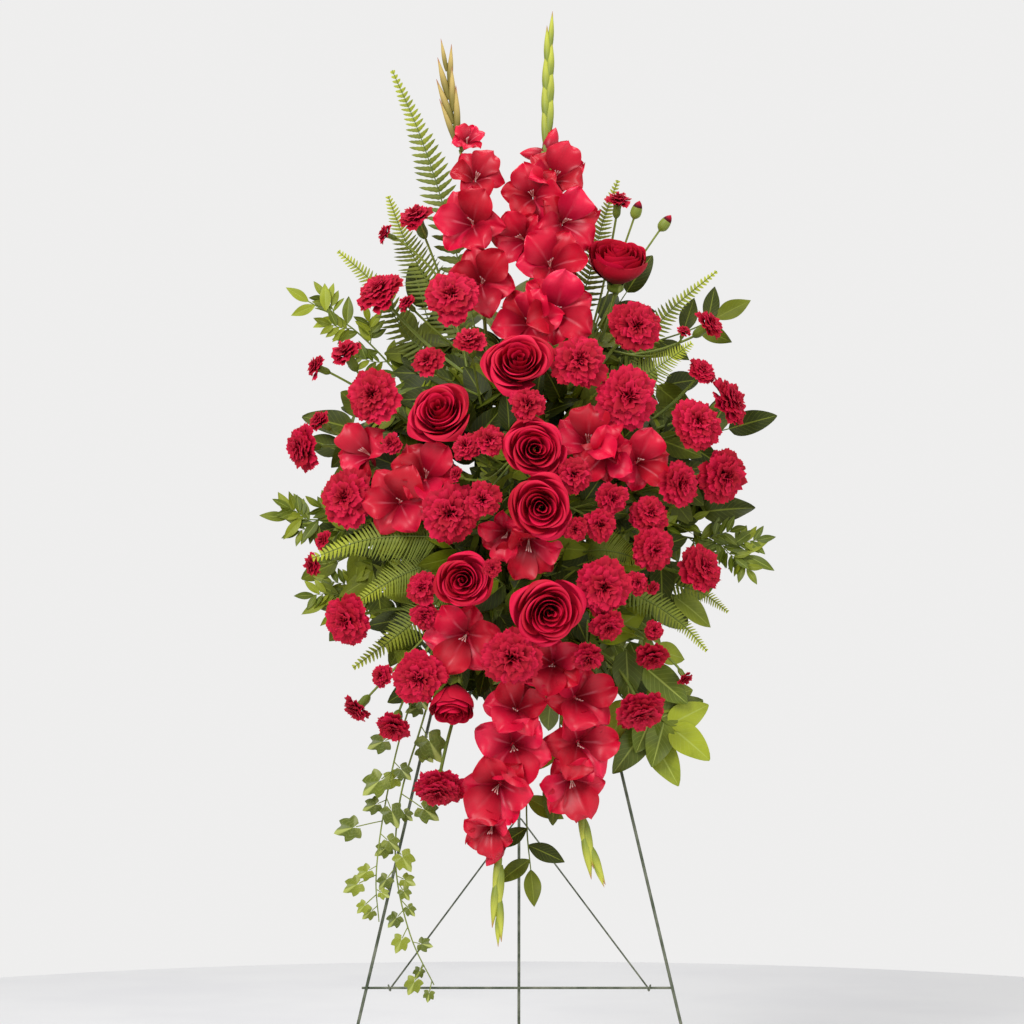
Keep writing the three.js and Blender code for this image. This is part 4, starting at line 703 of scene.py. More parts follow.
ivyLeaf = skinMaterial("ivy_leaf", leafSkin, {
    "Dark": (82, 94, 16), "Light": (138, 148, 34), "Rib": (176, 184, 96), "Margin": (188, 192, 110),
    "Margin Share": 0.16, "Side Veins": 4.0,
}, {"roughness": 0.42, "bump": 0.3})
print("plant materials made")


# The stems of one bunch: the first comes out of the foam, the others leave it on the way.
def bloomStems(rows):
    places = [seen(*row[:3]) for row in rows]
    foot, skin, way = rootAt(np.mean(places, axis=0))
    start = skin + way * rootSizes["collar"]
    firstKnee = start
    stems = []
    for index, (row, place) in enumerate(zip(rows, places)):
        face = facing(row[4])
        begin = start + (firstKnee - start) * (0.12 + 0.6 * index / len(rows))
        back = place - face * 0.7 * row[3]
        knee = back - face * 0.3 * np.linalg.norm(back - begin)
        knee = knee + (begin - knee) * 0.25
        if not index:
            firstKnee = knee
        stems.append((place, face, [begin, knee] if index else [foot, start, knee]))
    return stems


def stemLine(stem, end, face):
    points = [*stem, end - face * 6, end]
    line = evenLine(points, 6 * (len(points) - 1) + 1)
    if len(stem) > 2:
        line[:7] = np.linspace(stem[0], stem[1], 7)
    return line


def addStem(piece, place, axes, r, stem, look):
    line = stemLine(stem, place - axes[2] * look["stemEnd"] * r, axes[2])
    addTube(piece, line, look["stemRadius"], look["stemShade"])
    low, high, wide = look["cup"]
    swell = np.array([0.5, 0.85, 1.0, 1.0, 0.95, 0.98, 1.06])
    cup = ringsOn(place, axes, wide * r * swell, np.linspace(low, high, 7) * r, 12)
    addGrid(piece, cup, (0.4, 0.5), 1, closed=True)
    along, across = petalShares(4, 3)
    for index in range(5):
        reach = (wide * 1.05 + 0.1 * along) * r
        angle = index * 2 * math.pi / 5 + across * (1 - along) * 0.6
        height = (high + along * 0.2 * (1 - 0.2 * across**2)) * r
        addGrid(piece, onHead(place, axes, reach, angle, height), (0.55, 0.5), 1)


def makeBlooms(table, look, addHead, petals):
    factor, column = look["seed"]
    for name, rows in table.items():
        piece = newPiece(name)
        chance = np.random.default_rng(len(name) * factor + rows[0][column])
        for row, (place, face, stem) in zip(rows, bloomStems(rows)):
            axes = headAxes(face, chance.uniform(0, 6))
            addHead(piece, chance, row, place, axes, stem, look)
        finishPiece(piece, [petals, stemGreen])


# Carnations: layers of fan-shaped petals with soft folds and pinked edges, in a green cup.
carnationHead = {"slot": "carnation_petals", "petals": 40, "columns": 23, "rows": 8, "swell": 1.12,
                 "ruffle": 0.11, "waves": 1.5, "teeth": 0.03, "half": 0.62, "tall": 1.0, "core": 0.74,
                 "stemEnd": 0.55, "stemRadius": 2.1, "stemShade": (0.4, 0.5), "cup": (-0.86, -0.3, 0.2),
                 "seed": (31, 0)}
miniHead = {"slot": "carnation_petals", "petals": 24, "columns": 15, "rows": 6, "swell": 1.16,
            "ruffle": 0.13, "waves": 1.4, "teeth": 0.045, "half": 0.6, "tall": 1.15, "core": 0.7,
            "stemEnd": 1.1, "stemRadius": 1.5, "stemShade": (0.5, 0.6), "cup": (-1.3, -0.3, 0.3),
            "seed": (17, 1)}
# A head of a spray that is smaller than so many pixels is still a closed bud.
budShape = {"below": 8, "stem": 1.3, "low": -0.2, "high": 3.3, "green": 7,
            "sizes": [0.2, 0.7, 0.95, 1.0, 1.0, 0.95, 0.85, 0.7, 0.45, 0.05]}


def addBud(piece, place, axes, r, stem):
    addTube(piece, stemLine(stem, place, axes[2]), budShape["stem"], (0.5, 0.6))
    heights = np.linspace(budShape["low"], budShape["high"], 10)
    rings = ringsOn(place, axes, np.array(budShape["sizes"]) * r, heights * r, 10)
    addGrid(piece, rings[:budShape["green"]], (0.6, 0.6), 1, closed=True)
    addGrid(piece, rings[budShape["green"] - 1:], (0.5, 0.5), closed=True)


def addCarnation(piece, chance, row, place, axes, stem, look):
    r = row[3]
    if r < budShape["below"]:
        addBud(piece, place, axes, r, stem)
        return
    addStem(piece, place, axes, r, stem, look)
    along, across = petalShares(look["rows"], look["columns"])
    for index in range(look["petals"]):
        share = (index + 0.5) / look["petals"]
        turn = index * goldenTurn + chance.uniform(-0.3, 0.3)
        tipReach = 0.1 + 0.86 * share**0.66 + chance.uniform(-0.07, 0.05)
        tipHeight = 0.42 - 0.4 * share**1.5 + chance.uniform(-0.09, 0.07)
        tooth = look["teeth"] * np.where(np.arange(look["columns"]) % 2, -0.5, 0.5) * along[:, :1] ** 4
        notch = 0.03 * np.cos(2 * math.pi * look["waves"] * across + anyPhase(chance)) * along**3
        reached = along * (1 - 0.1 * across**4) + tooth + notch
        reach = bend(reached, 0.04, 0.3 * tipReach, tipReach)
        height = bend(reached, -0.46, tipHeight + 0.06, tipHeight - 0.12 * share)
        width = (0.08 + 0.92 * along**0.9) * look["half"] * chance.uniform(0.8, 1.2)
        angle = turn + across * width / (reach + 0.24)
        phase = anyPhase(chance)
        folds = look["waves"] * chance.uniform(0.8, 1.3) * math.pi * across
        ruffle = np.sin(folds + phase) + 0.45 * np.sin(2.7 * folds + 2 * phase)
        ruffle = look["ruffle"] * (1.3 - 0.75 * share) * along**1.4 * ruffle
        upright = 0.15 + 0.75 * share
        reach = (reach + ruffle * (1 - upright)) * r * look["swell"]
        height = (height + ruffle * upright) * r * look["swell"] * look["tall"]
        addPetal(piece, chance, onHead(place, axes, reach, angle, height))
    standing.append((place, look["core"] * r))


# Roses: petals wound in a spiral, tight in the middle, opening and rolling back at the outside.
roseHead = {"slot": "rose_petals", "petals": 25, "columns": 21, "rows": 14, "swell": 1.06, "seed": (13, 0),
            "roll": 0.2, "wave": 0.03, "tuck": 0.1, "cupped": 0.3, "turn": 2.2999, "core": 0.84,
            "stemEnd": 0.6, "stemRadius": 2.4, "stemShade": (0.3, 0.4), "cup": (-0.7, -0.46, 0.2)}


def rosePetal(chance, index, share, opened):
    along, across = petalShares(roseHead["rows"], roseHead["columns"])
    rim = 0.03 + 0.79 * share**0.86 + chance.uniform(-0.02, 0.02)
    top = 0.44 - 0.4 * opened * share**1.7 + chance.uniform(-0.03, 0.03)
    peak = 0.05 * share * np.exp(-((across / 0.28) ** 2))
    reached = along * (1 - 0.17 * np.abs(across) ** 2.4 + peak)
    belly = 0.12 * np.sin(math.pi * reached) * (0.25 + share)
    reach = 0.07 + (rim - 0.07) * np.sin(np.clip(reached, 0, 1) * math.pi / 2) ** 0.75 + belly
    reach = reach * (1 + roseHead["tuck"] * across * (1.3 - share))
    height = -0.5 + (top + 0.5) * reached**0.9
    past = np.clip((reached - 0.74) / 0.26, 0, 1.2)
    roll = roseHead["roll"] * (0.2 + 0.8 * share * opened) * past**1.6
    reach = reach + roll
    height = height - roll * (0.35 + 0.75 * share) * past
    wide = 2.1 - 1.15 * share**0.6
    outline = np.sin(math.pi * (0.2 + 0.6 * along)) ** 0.4
    angle = index * roseHead["turn"] + chance.uniform(-0.2, 0.2) + across * wide * outline
    reach = reach * (1 + 0.05 * np.cos(2 * angle + 0.6))
    wave = roseHead["wave"] * along**3 * np.sin(3.6 * across + anyPhase(chance))
    return reach + wave, angle, height + wave


def addRose(piece, chance, row, place, axes, stem, look):
    r, tall = row[3] * look["swell"], row[5]
    addStem(piece, place, axes, r * tall, stem, look)
    opened = 1.0 if tall < 1.05 else look["cupped"]
    for index in range(look["petals"]):
        reach, angle, height = rosePetal(chance, index, index / (look["petals"] - 1), opened)
        addPetal(piece, chance, onHead(place, axes, reach * r, angle, height * r * tall))
    standing.append((place, look["core"] * r))


# Gladioli: florets with six ruffled tepals on a long stem, closed buds in their sheaths at the tip.
# A tepal's share of the floret's length, its half width and how far its end comes forward.
tepals = [(1.0, 0.5, 0.26), (0.98, 0.41, 0.0), (0.93, 0.42, 0.12), (0.86, 0.36, -0.1), (0.93, 0.42, 0.12),
          (0.98, 0.41, 0.0)]
floretShape = {"columns": 15, "rows": 16, "ruffle": 0.13, "smallest": 15, "swell": 1.27, "largest": 52,
               "widest": 0.56, "depth": 0.6, "frill": 0.36, "sheath": (22, 4.6)}


def nearestOn(points, place):
    best = points[0]
    for one, two in zip(points[:-1], points[1:]):
        end = two + (one - two) * 0.08
        way = end - one
        share = float(np.clip((place - one) @ way / max(way @ way, 1e-9), 0, 1))
        near = one + way * share
        if np.linalg.norm(near - place) < np.linalg.norm(best - place):
            best = near
    return best


def budPoints(foot, way, radius, long, drawn=0.0):
    along = np.linspace(0, 1, 12)
    sizes = np.sin(math.pi * np.clip(along * 0.94 + 0.06, 0, 1)) ** 0.7
    sizes = sizes * (1.12 - 0.35 * along) * (1 - drawn * along)
    sizes[-1] = 0.04
    return ringsOn(foot, headAxes(way), radius * sizes, long * along, 10, 1.1 * along[:, None])


def addSheath(piece, foot, way, outward, long, wide):
    along, across = petalShares(9, 7)
    side = unit(np.cross(way, outward))
    half = wide * np.sin(math.pi * (0.22 + 0.78 * along)) ** 0.8
    half[-1] = 0.3
    bow = np.sqrt(np.clip(1 - (across * 0.86) ** 2, 0, 1))
    rise = bow * half * 0.8 + 0.12 * long * along**2
    addGrid(piece, spread(foot, (way, side, outward), along * long, across * half, rise), (0.5, 0.6), 1)


def addTepal(piece, chance, index, place, axes, size):
    along, across = petalShares(floretShape["rows"], floretShape["columns"])
    widest, depth = floretShape["widest"], floretShape["depth"]
    inner = index % 2 == 0
    long, half, lift = tepals[index]
    turn = math.pi / 2 + index * math.pi / 3 + chance.uniform(-0.14, 0.14)
    long = long * chance.uniform(0.9, 1.06)
    lift = lift + chance.uniform(-0.16, 0.16)
    phase = anyPhase(chance)
    frilled = along * (1 + floretShape["frill"] * along**3 * (1 - along) * np.sin(6.5 * across + 2 * phase))
    reach = bend(frilled, 0.04, 0.33, long)
    height = bend(along, -depth, 0.05, lift) - 0.16 * along**5
    narrow = 0.16 + 0.84 * np.sin(np.clip(along / widest, 0, 1) * math.pi / 2) ** 1.4
    rounded = (1 - np.clip((along - widest) / (1.0 - widest), 0, 0.995) ** 1.8) ** 0.7
    half = half * chance.uniform(0.92, 1.08) * narrow * rounded
    half = half * (1 + 0.06 * (1 - along) * np.sin(12 * along + phase)) + 0.012
    ruffle = np.abs(across) ** 2.2 * np.sin(12 * along + phase * np.sign(across)) * along
    ruffle = floretShape["ruffle"] * ruffle + 0.07 * along**2 * np.sin(3.2 * across + phase)
    cup = (0.2 if inner else 0.08) * across**2 * np.sin(math.pi * along)
    angle = turn + np.arctan2(across * half, reach + 0.02)
    away = np.hypot(reach, across * half)
    keel = 0.045 * np.exp(-((across / 0.16) ** 2)) * np.sin(math.pi * along)
    lifted = height + ruffle + cup - keel + (0.035 if inner else 0)
    points = onHead(place, axes, away * size, angle, lifted * size)
    streak = chance.uniform(0.6, 1.0) if index in (2, 4) else chance.uniform(0, 0.3)
    addGrid(piece, giveWay(points), (chance.uniform(0, 1), streak))


def addFloret(piece, chance, r, place, face, foot, roll):
    axes = headAxes(face, roll)
    size = min(r * floretShape["swell"], floretShape["largest"])
    for index in range(len(tepals)):
        addTepal(piece, chance, index, place, axes, size)
    throat = place - face * (floretShape["depth"] - 0.03) * size
    tube = evenLine([foot, (foot + throat) / 2 - face * 0.06 * r, throat], 10)
    addTube(piece, tube, np.linspace(2.2, 0.07 * size, 10), (0.4, 0.2), 0, sides=10)
    for index in range(3):
        tip = place + axes[0] * r * 0.1 * (index - 1) + axes[1] * r * 0.12 - face * r * 0.04
        stamen = evenLine([throat, (throat + tip) / 2 + axes[1] * 0.04 * r, tip], 7)
        addTube(piece, stamen, [0.4, 0.4, 0.4, 0.4, 0.7, 0.9, 0.5], (0.6, 0.4), 2, sides=6)


def addSpikeBud(piece, r, place, face, foot):
    way = unit(place - foot)
    addGrid(piece, budPoints(foot, way, 0.92 * r, 2.5 * r + 9), (0.5, 0.3), closed=True)
    outward = unit(np.cross(np.cross(way, face), way))
    addSheath(piece, foot - way * 2, way, outward, 1.7 * r + 8, 0.75 * r)
    addSheath(piece, foot - way * 2, way, -outward, 1.5 * r + 8, 0.75 * r)


def makeSpikes():
    for name, spike in spikeRows.items():
        piece = newPiece(name)
        chance = np.random.default_rng(len(name) * 11 + spike["stem"][0][0])
        path = [seen(*point) for point in spike["stem"]]
        foot, skin, way = rootAt(path[0])
        start = skin + way * (rootSizes["collar"] - 1)
        stem = [foot, *evenLine([start, *path], 6)]
        fine = [foot, (foot + start) / 2, *evenLine([start, *path], 31)]
        addTube(piece, fine, np.linspace(2.5, 1.9, len(fine)), (0.5, 0.5))
        climb = unit(path[-1] - path[0])
        hanging = math.pi if path[-1][2] < path[0][2] else 0
        for px, py, out, r, face in spike["florets"]:
            place = seen(px, py, out)
            face = facing(face)
            if r < floretShape["smallest"]:
                addSpikeBud(piece, r, place, face, nearestOn(stem, place))
                continue
            joint = nearestOn(stem, place - face * 0.7 * r)
            addFloret(piece, chance, r, place, face, joint, hanging + chance.uniform(-0.7, 0.7))
            outward = unit(place - joint)
            way = unit(climb * 0.9 + outward * 0.3)
            addSheath(piece, joint, way, squareTo(way, outward), *floretShape["sheath"])
            standing.append((place - face * 0.1 * r, 0.5 * r))
        finishPiece(piece, [gladiolusPetals, stemGreen, stamenMaterial])
        if "end" in spike:
            makeSpikeTip(name, spike["end"])


tipSheaths = {"spacing": 21, "long": 66, "half": 6.6, "lean": 0.06, "past": 10, "drawn": 0.45, "last": 0.76}
# The upper left spike has lost its water: its sheaths are brown and stand away from the stem.
driedTip = {"node": "gladiolus_top_left", "lean": 0.2, "half": 5.2}


def makeSpikeTip(name, end):
    piece = newPiece(name + "_tip")
    path = [seen(*point) for point in end]
    length = float(np.sum(np.linalg.norm(np.diff(path, axis=0), axis=1)))
    addTube(piece, evenLine(path, 25)[:21], np.linspace(2.2, 0.9, 21), (0.5, 0.5))
    dried = name == driedTip["node"]
    look = driedTip if dried else tipSheaths
    count = max(4, round(length / tipSheaths["spacing"]))
    for index in range(count):
        share = tipSheaths["last"] * index / (count - 1)
        way = headingAt(path, share)
        side = squareTo(way, unit([1.0 if index % 2 else -1.0, -0.5, 0]))
        size = 0.78 + 0.42 * math.sin(math.pi * min(1, share + 0.12)) - 0.3 * share
        lifted = unit(way + side * look["lean"] * (1 - 0.5 * share))
        long = min(tipSheaths["long"] * (1 - 0.3 * share), length * (1 - share) + tipSheaths["past"])
        half = look["half"] * size * min(1, long / 40)
        pod = budPoints(pointAt(path, share) + side * 1.5, lifted, half, long, tipSheaths["drawn"])
        addGrid(piece, pod, (0.45 + 0.3 * share, 0.1), closed=True)
    finishPiece(piece, [driedSheath if dried else sheathGreen, stemGreen])


# Green: fern fronds, leafy branches and ivy, each node with one short stem in the foam.
def towardViewer(points, lift):
    return squareTo(headingAt(points, 0.6), np.array([0.0, -1.0, lift]))


def branchStarts(piece, paths, radius, own):
    paths = [[seen(*point) for point in path] for path in paths]
    foot, skin, way = rootAt(np.mean([path[0] for path in paths], axis=0))
    start = skin + way * (rootSizes["collar"] - 3)
    addTube(piece, [foot, (foot + start) / 2, start], radius, own)
    return [[start, *path] for path in paths]


frondShape = {"pairs": 35, "from": 0.3, "sweep": 0.36, "fill": 0.41, "sickle": 0.12, "swell": 1.08}


def addFrond(piece, chance, points, widest):
    faceTo = towardViewer(points, 0.25)
    addTube(piece, evenLine(points, 41), np.linspace(1.5, 0.4, 41), (0.3, 0.4), sides=6)
    pairs = frondShape["pairs"]
    for index in range(pairs):
        done = (index + 0.5) / pairs
        share = frondShape["from"] + (1 - frondShape["from"]) * done
        at = pointAt(points, share)
        heading = headingAt(points, share)
        across = unit(np.cross(heading, faceTo))
        taper = (0.6 + 0.4 * math.sin(math.pi * min(1, 1.3 * done + 0.1))) * (1 - done**2.2) ** 0.9 + 0.12
        reach = widest * mmPerPixel * taper * frondShape["swell"]
        step = np.linalg.norm(pointAt(points, min(share + 0.01, 1)) - at) / 0.01
        half = frondShape["fill"] * step * (1 - frondShape["from"]) / pairs
        for side in (-1, 1):
            way = unit(across * side + heading * (frondShape["sweep"] + chance.uniform(-0.07, 0.07)))
            long = reach * chance.uniform(0.93, 1.05)
            addPinna(piece, at, way, heading, faceTo, long, half, done)


def addPinna(piece, at, way, heading, faceTo, long, half, done):
    along, across = petalShares(8, 3)
    toothed = 1 + 0.1 * np.where(np.arange(8) % 2, 1, -1)[:, None]
    width = half * np.clip(1.1 - along, 0.04, 1) ** 0.6 * toothed
    width[0] = half * 0.7
    width[-1] = 0.12
    sickle = frondShape["sickle"] * long * along**2
    sunk = 0.16 * long * along**1.7 + 0.25 * np.abs(across) * width
    points = spread(at, (way, heading, faceTo), along * long, across * width + sickle, -sunk)
    addGrid(piece, giveWay(points), (0.2 + 0.7 * done**1.5, 0.3 + 0.4 * (long % 1)))


def makeFronds():
    for name, rows in frondRows.items():
        piece = newPiece(name)
        chance = np.random.default_rng(len(name) * 7 + rows[0][0][0][0])
        for row, points in zip(rows, branchStarts(piece, [row[0] for row in rows], 2.4, (0.5, 0.5))):
            addFrond(piece, chance, points, row[1])
        finishPiece(piece, [fernGreen, stemGreen])


leafShape = {"grid": (15, 9), "fold": 0.16, "wave": 0.05, "narrow": 0.98, "smallBelow": 45}
# How the outline swells and how far the end hangs, for broad and for small leaves.
broadOutline = {"early": 0.72, "full": 0.72, "hang": 0.16}
smallOutline = {"early": 0.9, "full": 0.95, "hang": 0.1}


def addLeaf(piece, chance, root, way, faceTo, leaf, scale, look):
    along, across = petalShares(*leaf.get("grid", leafShape["grid"]))
    side = unit(np.cross(way, faceTo))
    outline = smallOutline if leaf["long"] < leafShape["smallBelow"] else broadOutline
    long, wide = leaf["long"] * scale, leaf["wide"] * scale
    swell = np.sin(math.pi * np.clip(along ** outline["early"] * 0.985 + 0.01, 0, 1)) ** outline["full"]
    half = 0.5 * wide * leafShape["narrow"] * swell
    wave = leafShape["wave"] * wide * across**2 * np.sin(7 * along + anyPhase(chance) + np.sign(across))
    lift = leafShape["fold"] * np.abs(across) * half - outline["hang"] * long * along**2
    twist = chance.uniform(-0.12, 0.12) * across * half * along
    points = spread(root, (way, side, faceTo), along * long, across * half, lift + wave + twist)
    addGrid(piece, giveWay(points), (chance.uniform(0, 1), chance.uniform(0.1, 0.9)), look)


def addLeafyStem(piece, chance, points, stem, leaf, look):
    faceTo = towardViewer(points, 0.3)
    addTube(piece, evenLine(points, 21), np.linspace(*stem, 21), (0.4, 0.4), sides=6)
    count = leaf["count"]
    step = (1 - leaf["begin"]) / (count - 1)
    for index in range(count):
        last = index == count - 1
        at = min(0.985, 1 if last else leaf["begin"] + (index + 0.15) * step)
        heading = headingAt(points, at)
        across = unit(np.cross(heading, faceTo))
        turn = 0 if last else math.radians(leaf["spread"]) * (1 if index % 2 else -1)
        way = heading * math.cos(turn) + across * math.sin(turn)
        way = unit(way + faceTo * (0.3 * index / count - 0.04))
        shown = squareTo(way, faceTo + chance.normal(0, leaf.get("sway", 0.1), 3))
        scale = mmPerPixel * (1 - 0.14 * abs(math.sin(index * 1.3)))
        addLeaf(piece, chance, pointAt(points, at), way, shown, leaf, scale, look)


# Side twigs with small leaves, along a small-leaved spray.
twigShape = {"count": 6, "long": 32, "spread": 46}
twigLeaf = {"long": 21, "wide": 8.2, "count": 8, "begin": 0.16, "spread": 50, "sway": 0.35, "grid": (9, 5)}


def addTwigs(piece, chance, points, begin):
    faceTo = towardViewer(points, 0.3)
    for index in range(twigShape["count"]):
        at = begin + (0.94 - begin) * index / twigShape["count"]
        heading = headingAt(points, at)
        across = unit(np.cross(heading, faceTo)) * (1 if index % 2 else -1)
        turn = math.radians(twigShape["spread"] * chance.uniform(0.6, 1.15))
        way = unit(heading * math.cos(turn) + across * math.sin(turn) + faceTo * chance.uniform(-0.3, 0.45))
        root = pointAt(points, at)
        long = twigShape["long"] * mmPerPixel * chance.uniform(0.8, 1.1) * (1 - 0.45 * at)
        twig = [root, root + way * long * 0.5, root + (way * 0.92 + heading * 0.25) * long]
        addLeafyStem(piece, chance, twig, (0.8, 0.4), twigLeaf, 2)


# Leafy stems that fill the space between the blooms, in fans: between which angles, how many of each kind.
fanShape = {"x": 520, "y": 500, "halfWide": 186, "halfTall": 204, "bow": 24,
            "layers": [(1.0, 6), (0.84, 40), (0.62, 78)]}
heartShape = {"x": 520, "y": 520, "halfWide": 78, "halfTall": 134, "bow": 12, "out": 104}
fillFans = {
    "leaves_right": {"turns": (-30, 32), "broad": 13, "fine": 7},
    "leaves_upper_right": {"turns": (30, 88), "broad": 10, "fine": 8},
    "leaves_upper_left": {"turns": (90, 150), "broad": 10, "fine": 9},
    "leaves_left": {"turns": (148, 236), "broad": 16, "fine": 10},
    "leaves_lower_right": {"turns": (-78, -28), "broad": 10, "fine": 3},
    "trailing_branch": {"turns": (236, 284), "broad": 8, "fine": 2, "least": 52},
    "leaves_centre": {"turns": (0, 360), "broad": 20, "fine": 7},
}
fillLeaves = {
    "broad": {"long": 50, "wide": 27, "count": 7, "begin": 0.3, "spread": 56, "sway": 0.42, "grid": (10, 5)},
    "fine": {"long": 23, "wide": 10.5, "count": 16, "begin": 0.34, "spread": 52, "sway": 0.4, "grid": (9, 5)},
}


# Small leaves, and the broad ones at the lower right, have the paler green.
def leafLook(name, small):
    return 2 if small or name == "leaves_lower_right" else 0


def addFan(piece, chance, name, start):
    fan = fillFans[name]
    heart = name == "leaves_centre"
    shape = heartShape if heart else fanShape
    first, last = fan["turns"]
    for kind in ("broad", "fine"):
        for index in range(fan[kind]):
            turn = first + (last - first) * (index + 0.5) / fan[kind]
            turn = math.radians(turn + chance.uniform(-5, 5))
            if heart:
                share = 0.35 + 0.65 * chance.uniform(0, 1)
                out = shape["out"] + chance.uniform(0, 14)
            else:
                share, out = shape["layers"][index % 3 if kind == "broad" else 1 + index % 2]
                share = share * chance.uniform(0.88, 1.04)
                out = max(out, fan.get("least", 0)) + chance.uniform(-6, 10)
            end = seen(shape["x"] + math.cos(turn) * shape["halfWide"] * share,
                       shape["y"] - math.sin(turn) * shape["halfTall"] * share, out)
            middle = start * 0.45 + end * 0.55 + frameOut * shape["bow"]
            look = leafLook(name, kind == "fine")
            addLeafyStem(piece, chance, [start, middle, end], (1.8, 0.7), fillLeaves[kind], look)


def makeBranches():
    for name, rows in branchRows.items():
        piece = newPiece(name)
        chance = np.random.default_rng(len(name) * 5 + rows[0][0][0][0])
        controls = branchStarts(piece, [row[0] for row in rows], 2.4, (0.4, 0.4))
        for row, points in zip(rows, controls):
            leaf = dict(zip(("long", "wide", "count", "begin", "spread"), row[1:]))
            small = leaf["long"] < 36
            addLeafyStem(piece, chance, points, (1.9, 0.7), leaf, leafLook(name, small))
            if small:
                addTwigs(piece, chance, points, leaf["begin"] - 0.12)
        addFan(piece, chance, name, controls[0][0])
        finishPiece(piece, [darkLeaf, stemGreen, lightLeaf])


# An ivy leaf's outline: how far it reaches at each turn from its end.
ivyLobes = [(-2.6, 0.5), (-1.9, 0.9), (-1.45, 0.68), (-0.75, 1.12), (-0.45, 0.82), (0, 1.42), (0.45, 0.82),
            (0.75, 1.12), (1.45, 0.68), (1.9, 0.9), (2.6, 0.5)]
ivyShape = {"rings": 6, "columns": 45, "widestTurn": 2.75, "extra": 10}


def addIvyLeaf(piece, chance, notch, hang, across, faceTo, r):
    turns = np.linspace(-ivyShape["widestTurn"], ivyShape["widestTurn"], ivyShape["columns"])
    reach = np.interp(turns, *np.transpose(ivyLobes))
    shares = np.linspace(0.03, 1, ivyShape["rings"])[:, None]
    away = shares * (reach * (0.35 + 0.65 * shares) + (1 - shares) * 0.5)
    lift = -0.12 * away**2 + 0.05 * np.cos(5 * turns) * shares
    points = onHead(notch + hang * 0.2 * r, (hang, across, faceTo), away * r, turns, lift * r)
    addGrid(piece, points, (chance.uniform(0, 1), chance.uniform(0.3, 0.9)))


def makeIvy():
    piece = newPiece("ivy")
    chance = np.random.default_rng(44)
    controls = branchStarts(piece, [vine["path"] for vine in ivyRows], 2.2, (0.4, 0.4))
    for vine, points in zip(ivyRows, controls):
        faceTo = towardViewer(points, 0.1)
        fine = evenLine(points, 201)
        addTube(piece, fine[::4], np.linspace(1.5, 0.7, 51), (0.5, 0.5), sides=6)
        for index, (px, py, wide) in enumerate(vine["leaves"]):
            out = min(vine["path"], key=lambda point: abs(point[1] - py))[2]
            middle = seen(px, py, out + 12 + 5 * (index % 3))
            r = wide * 0.5 * mmPerPixel
            joint = fine[np.argmin(np.linalg.norm(fine - middle - np.array([0, 0, 16.0]), axis=1))]
            hang = squareTo(faceTo, middle - joint)
            notch = middle - hang * 0.3 * r
            stalk = evenLine([joint, (joint + notch) / 2 + faceTo * 2, notch], 8)
            addTube(piece, stalk, 0.7, (0.6, 0.5), sides=6)
            addIvyLeaf(piece, chance, notch, hang, unit(np.cross(hang, faceTo)), faceTo, r)
        for index in range(ivyShape["extra"]):
            share = 0.16 + 0.8 * (index + 0.5) / ivyShape["extra"]
            joint = pointAt(points, share)
            heading = headingAt(points, share)
            across = unit(np.cross(heading, faceTo)) * (1 if index % 2 else -1)
            r = (13 - 6 * share) * chance.uniform(0.75, 1.15) * mmPerPixel
            hang = unit(across + heading * 0.7 + faceTo * chance.uniform(-0.2, 0.5))
            notch = joint + hang * 0.9 * r
            shown = squareTo(hang, faceTo)
            addTube(piece, np.linspace(joint, notch, 5), 0.6, (0.6, 0.5), sides=6)
            addIvyLeaf(piece, chance, notch, hang, unit(np.cross(hang, shown)), shown, r)
    finishPiece(piece, [ivyLeaf, stemGreen])


makeBlooms(rosesRows, roseHead, addRose, rosePetals)
print("roses made")
makeBlooms(carnationsRows, carnationHead, addCarnation, carnationPetals)
print("carnations made")
makeSpikes()
print("gladioli made")
makeBlooms(minisRows, miniHead, addCarnation, carnationPetals)
print("spray carnations made")
makeFronds()
makeBranches()
makeIvy()
print("leaves made")

# Easel, tray and foam keep their solids and get their finishes.
easelPaint = {"body": (66, 76, 56), "worn": (118, 122, 104), "scale": 60.0, "detail": 6.0, "roughness": 0.5,
              "metallic": 0.35, "bump": 0.25, "deep": 0.0004}
trayPlastic = {"body": (28, 46, 24), "worn": (58, 74, 50), "scale": 90.0, "detail": 4.0, "roughness": 0.5,
               "metallic": 0.0, "bump": 0.2, "deep": 0.0003}
wetFoam = {"body": (34, 58, 30), "worn": (70, 98, 58), "scale": 900.0, "detail": 2.0, "roughness": 0.9,
           "metallic": 0.0, "bump": 0.6, "deep": 0.0008}
paleFloor = {"body": (232, 232, 233), "worn": (226, 226, 228), "scale": 3.0, "detail": 3.0, "roughness": 0.8,
             "metallic": 0.0, "bump": 0.02, "deep": 0.001}


def grainyMaterial(name, look):
    material, tree, inputs = newMaterial(name)
    grain = noiseOf(tree, look["scale"], look["detail"])
    worn = smoothShare(tree, grain, 0.35, 0.7)
    shade = mixColours(tree, worn, colour(*look["body"]), colour(*look["worn"]))
    tree.links.new(shade, inputs["Base Color"])
    tree.links.new(scaled(tree, grain, 0.3, look["roughness"] - 0.15), inputs["Roughness"])
    inputs["Metallic"].default_value = look["metallic"]
    addBump(tree, inputs, grain, look["bump"], look["deep"])
    return material


def giveFinish(start, slot, look):
    material = grainyMaterial(slot, look)
    for node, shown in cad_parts.items():
        if node.startswith(start):
            shown.data.materials.clear()
            shown.data.materials.append(material)


giveFinish("easel", "easel_paint", easelPaint)
giveFinish("foam_tray", "tray_plastic", trayPlastic)
giveFinish("foam_block", "wet_foam", wetFoam)
print("easel, tray and foam finished")

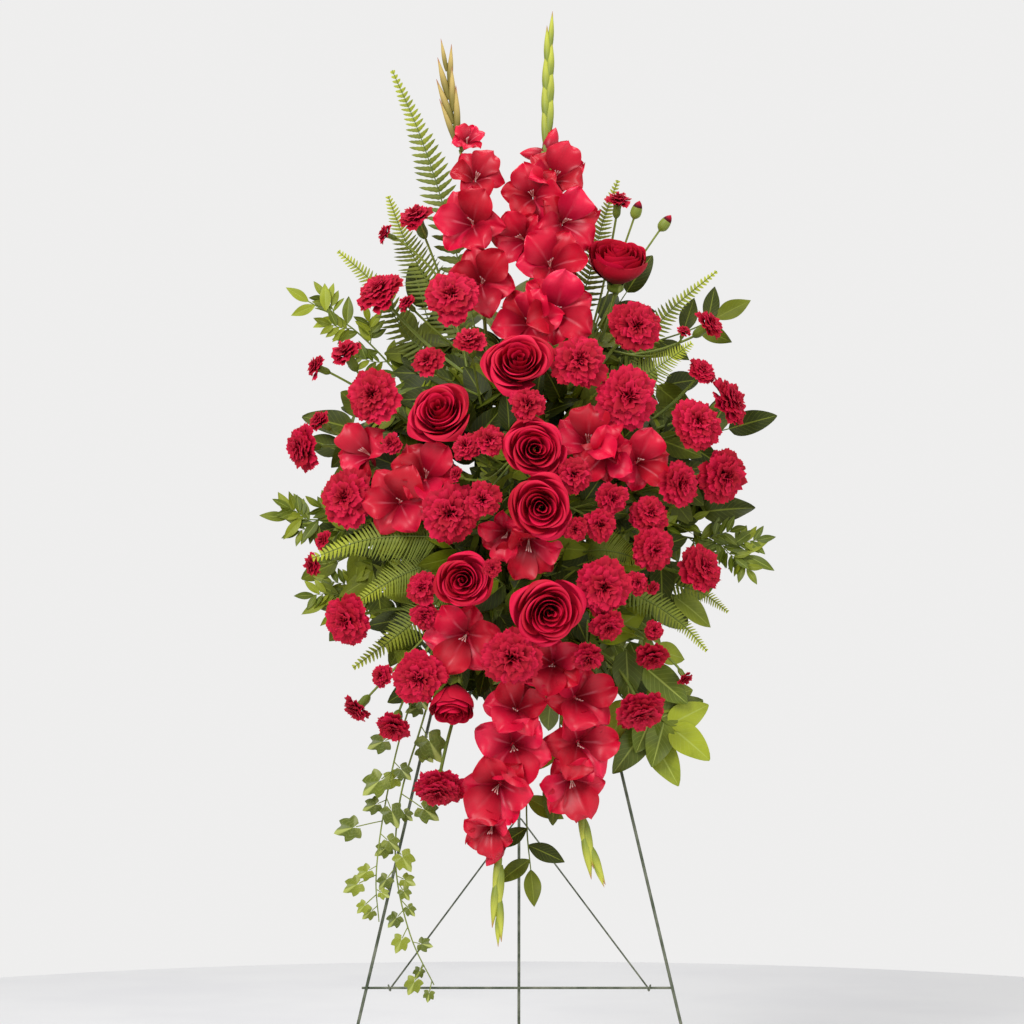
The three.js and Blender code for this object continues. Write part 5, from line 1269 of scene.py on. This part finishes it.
# Round pale floor, soft lights and the camera
studio = {"floorRadius": 1.6, "seenAir": 0.86, "sky": 0.56, "lens": 140.6, "sensor": 36.0, "aimHeight": 0.8}
lights = {
    "key_light": {"place": (-1.8, -3.2, 3.0), "power": 112.0, "size": 1.6},
    "fill_light": {"place": (2.6, -3.0, 1.6), "power": 40.0, "size": 2.4},
    "top_light": {"place": (0.2, 0.4, 3.4), "power": 36.0, "size": 1.6},
}


def makeFloor():
    radius = studio["floorRadius"]
    turns = np.linspace(0, 2 * math.pi, 96, endpoint=False)
    points = [(radius * math.cos(turn), radius * math.sin(turn), 0.0) for turn in turns]
    mesh = bpy.data.meshes.new("floor_mesh")
    mesh.from_pydata(points, [], [list(range(len(points)))])
    mesh.materials.append(grainyMaterial("pale_floor", paleFloor))
    linked("floor", mesh)


def addLight(name, look):
    data = bpy.data.lights.new(name, "AREA")
    data.energy = look["power"]
    data.shape = "SQUARE"
    data.size = look["size"]
    light = linked(name, data)
    away = np.array(look["place"]) - np.array((0, 0, studio["aimHeight"]))
    light.location = look["place"]
    light.rotation_euler = (math.acos(away[2] / np.linalg.norm(away)), 0, math.atan2(away[0], -away[1]))


makeFloor()
for name, look in lights.items():
    addLight(name, look)
world = bpy.data.worlds.new("studio_air")
world.use_nodes = True
air = world.node_tree.nodes["Background"]
air.inputs["Color"].default_value = (1.0, 0.995, 0.99, 1.0)
seenShare = addNode(world.node_tree, "ShaderNodeLightPath").outputs["Is Camera Ray"]
strength = scaled(world.node_tree, seenShare, studio["seenAir"] - studio["sky"], studio["sky"])
world.node_tree.links.new(strength, air.inputs["Strength"])
bpy.context.scene.world = world
bpy.context.scene.view_settings.view_transform = "Standard"

lens = bpy.data.cameras.new("front_camera")
lens.lens = studio["lens"]
lens.sensor_width = studio["sensor"]
camera = linked("front_camera", lens)
camera.location = (
    (eye["x"] + shift[0]) / 1000,
    (shift[1] - eye["distance"]) / 1000,
    eye["height"] / 1000,
)
camera.rotation_euler = (math.pi / 2, 0, 0)
bpy.context.scene.camera = camera

print("scene finished")
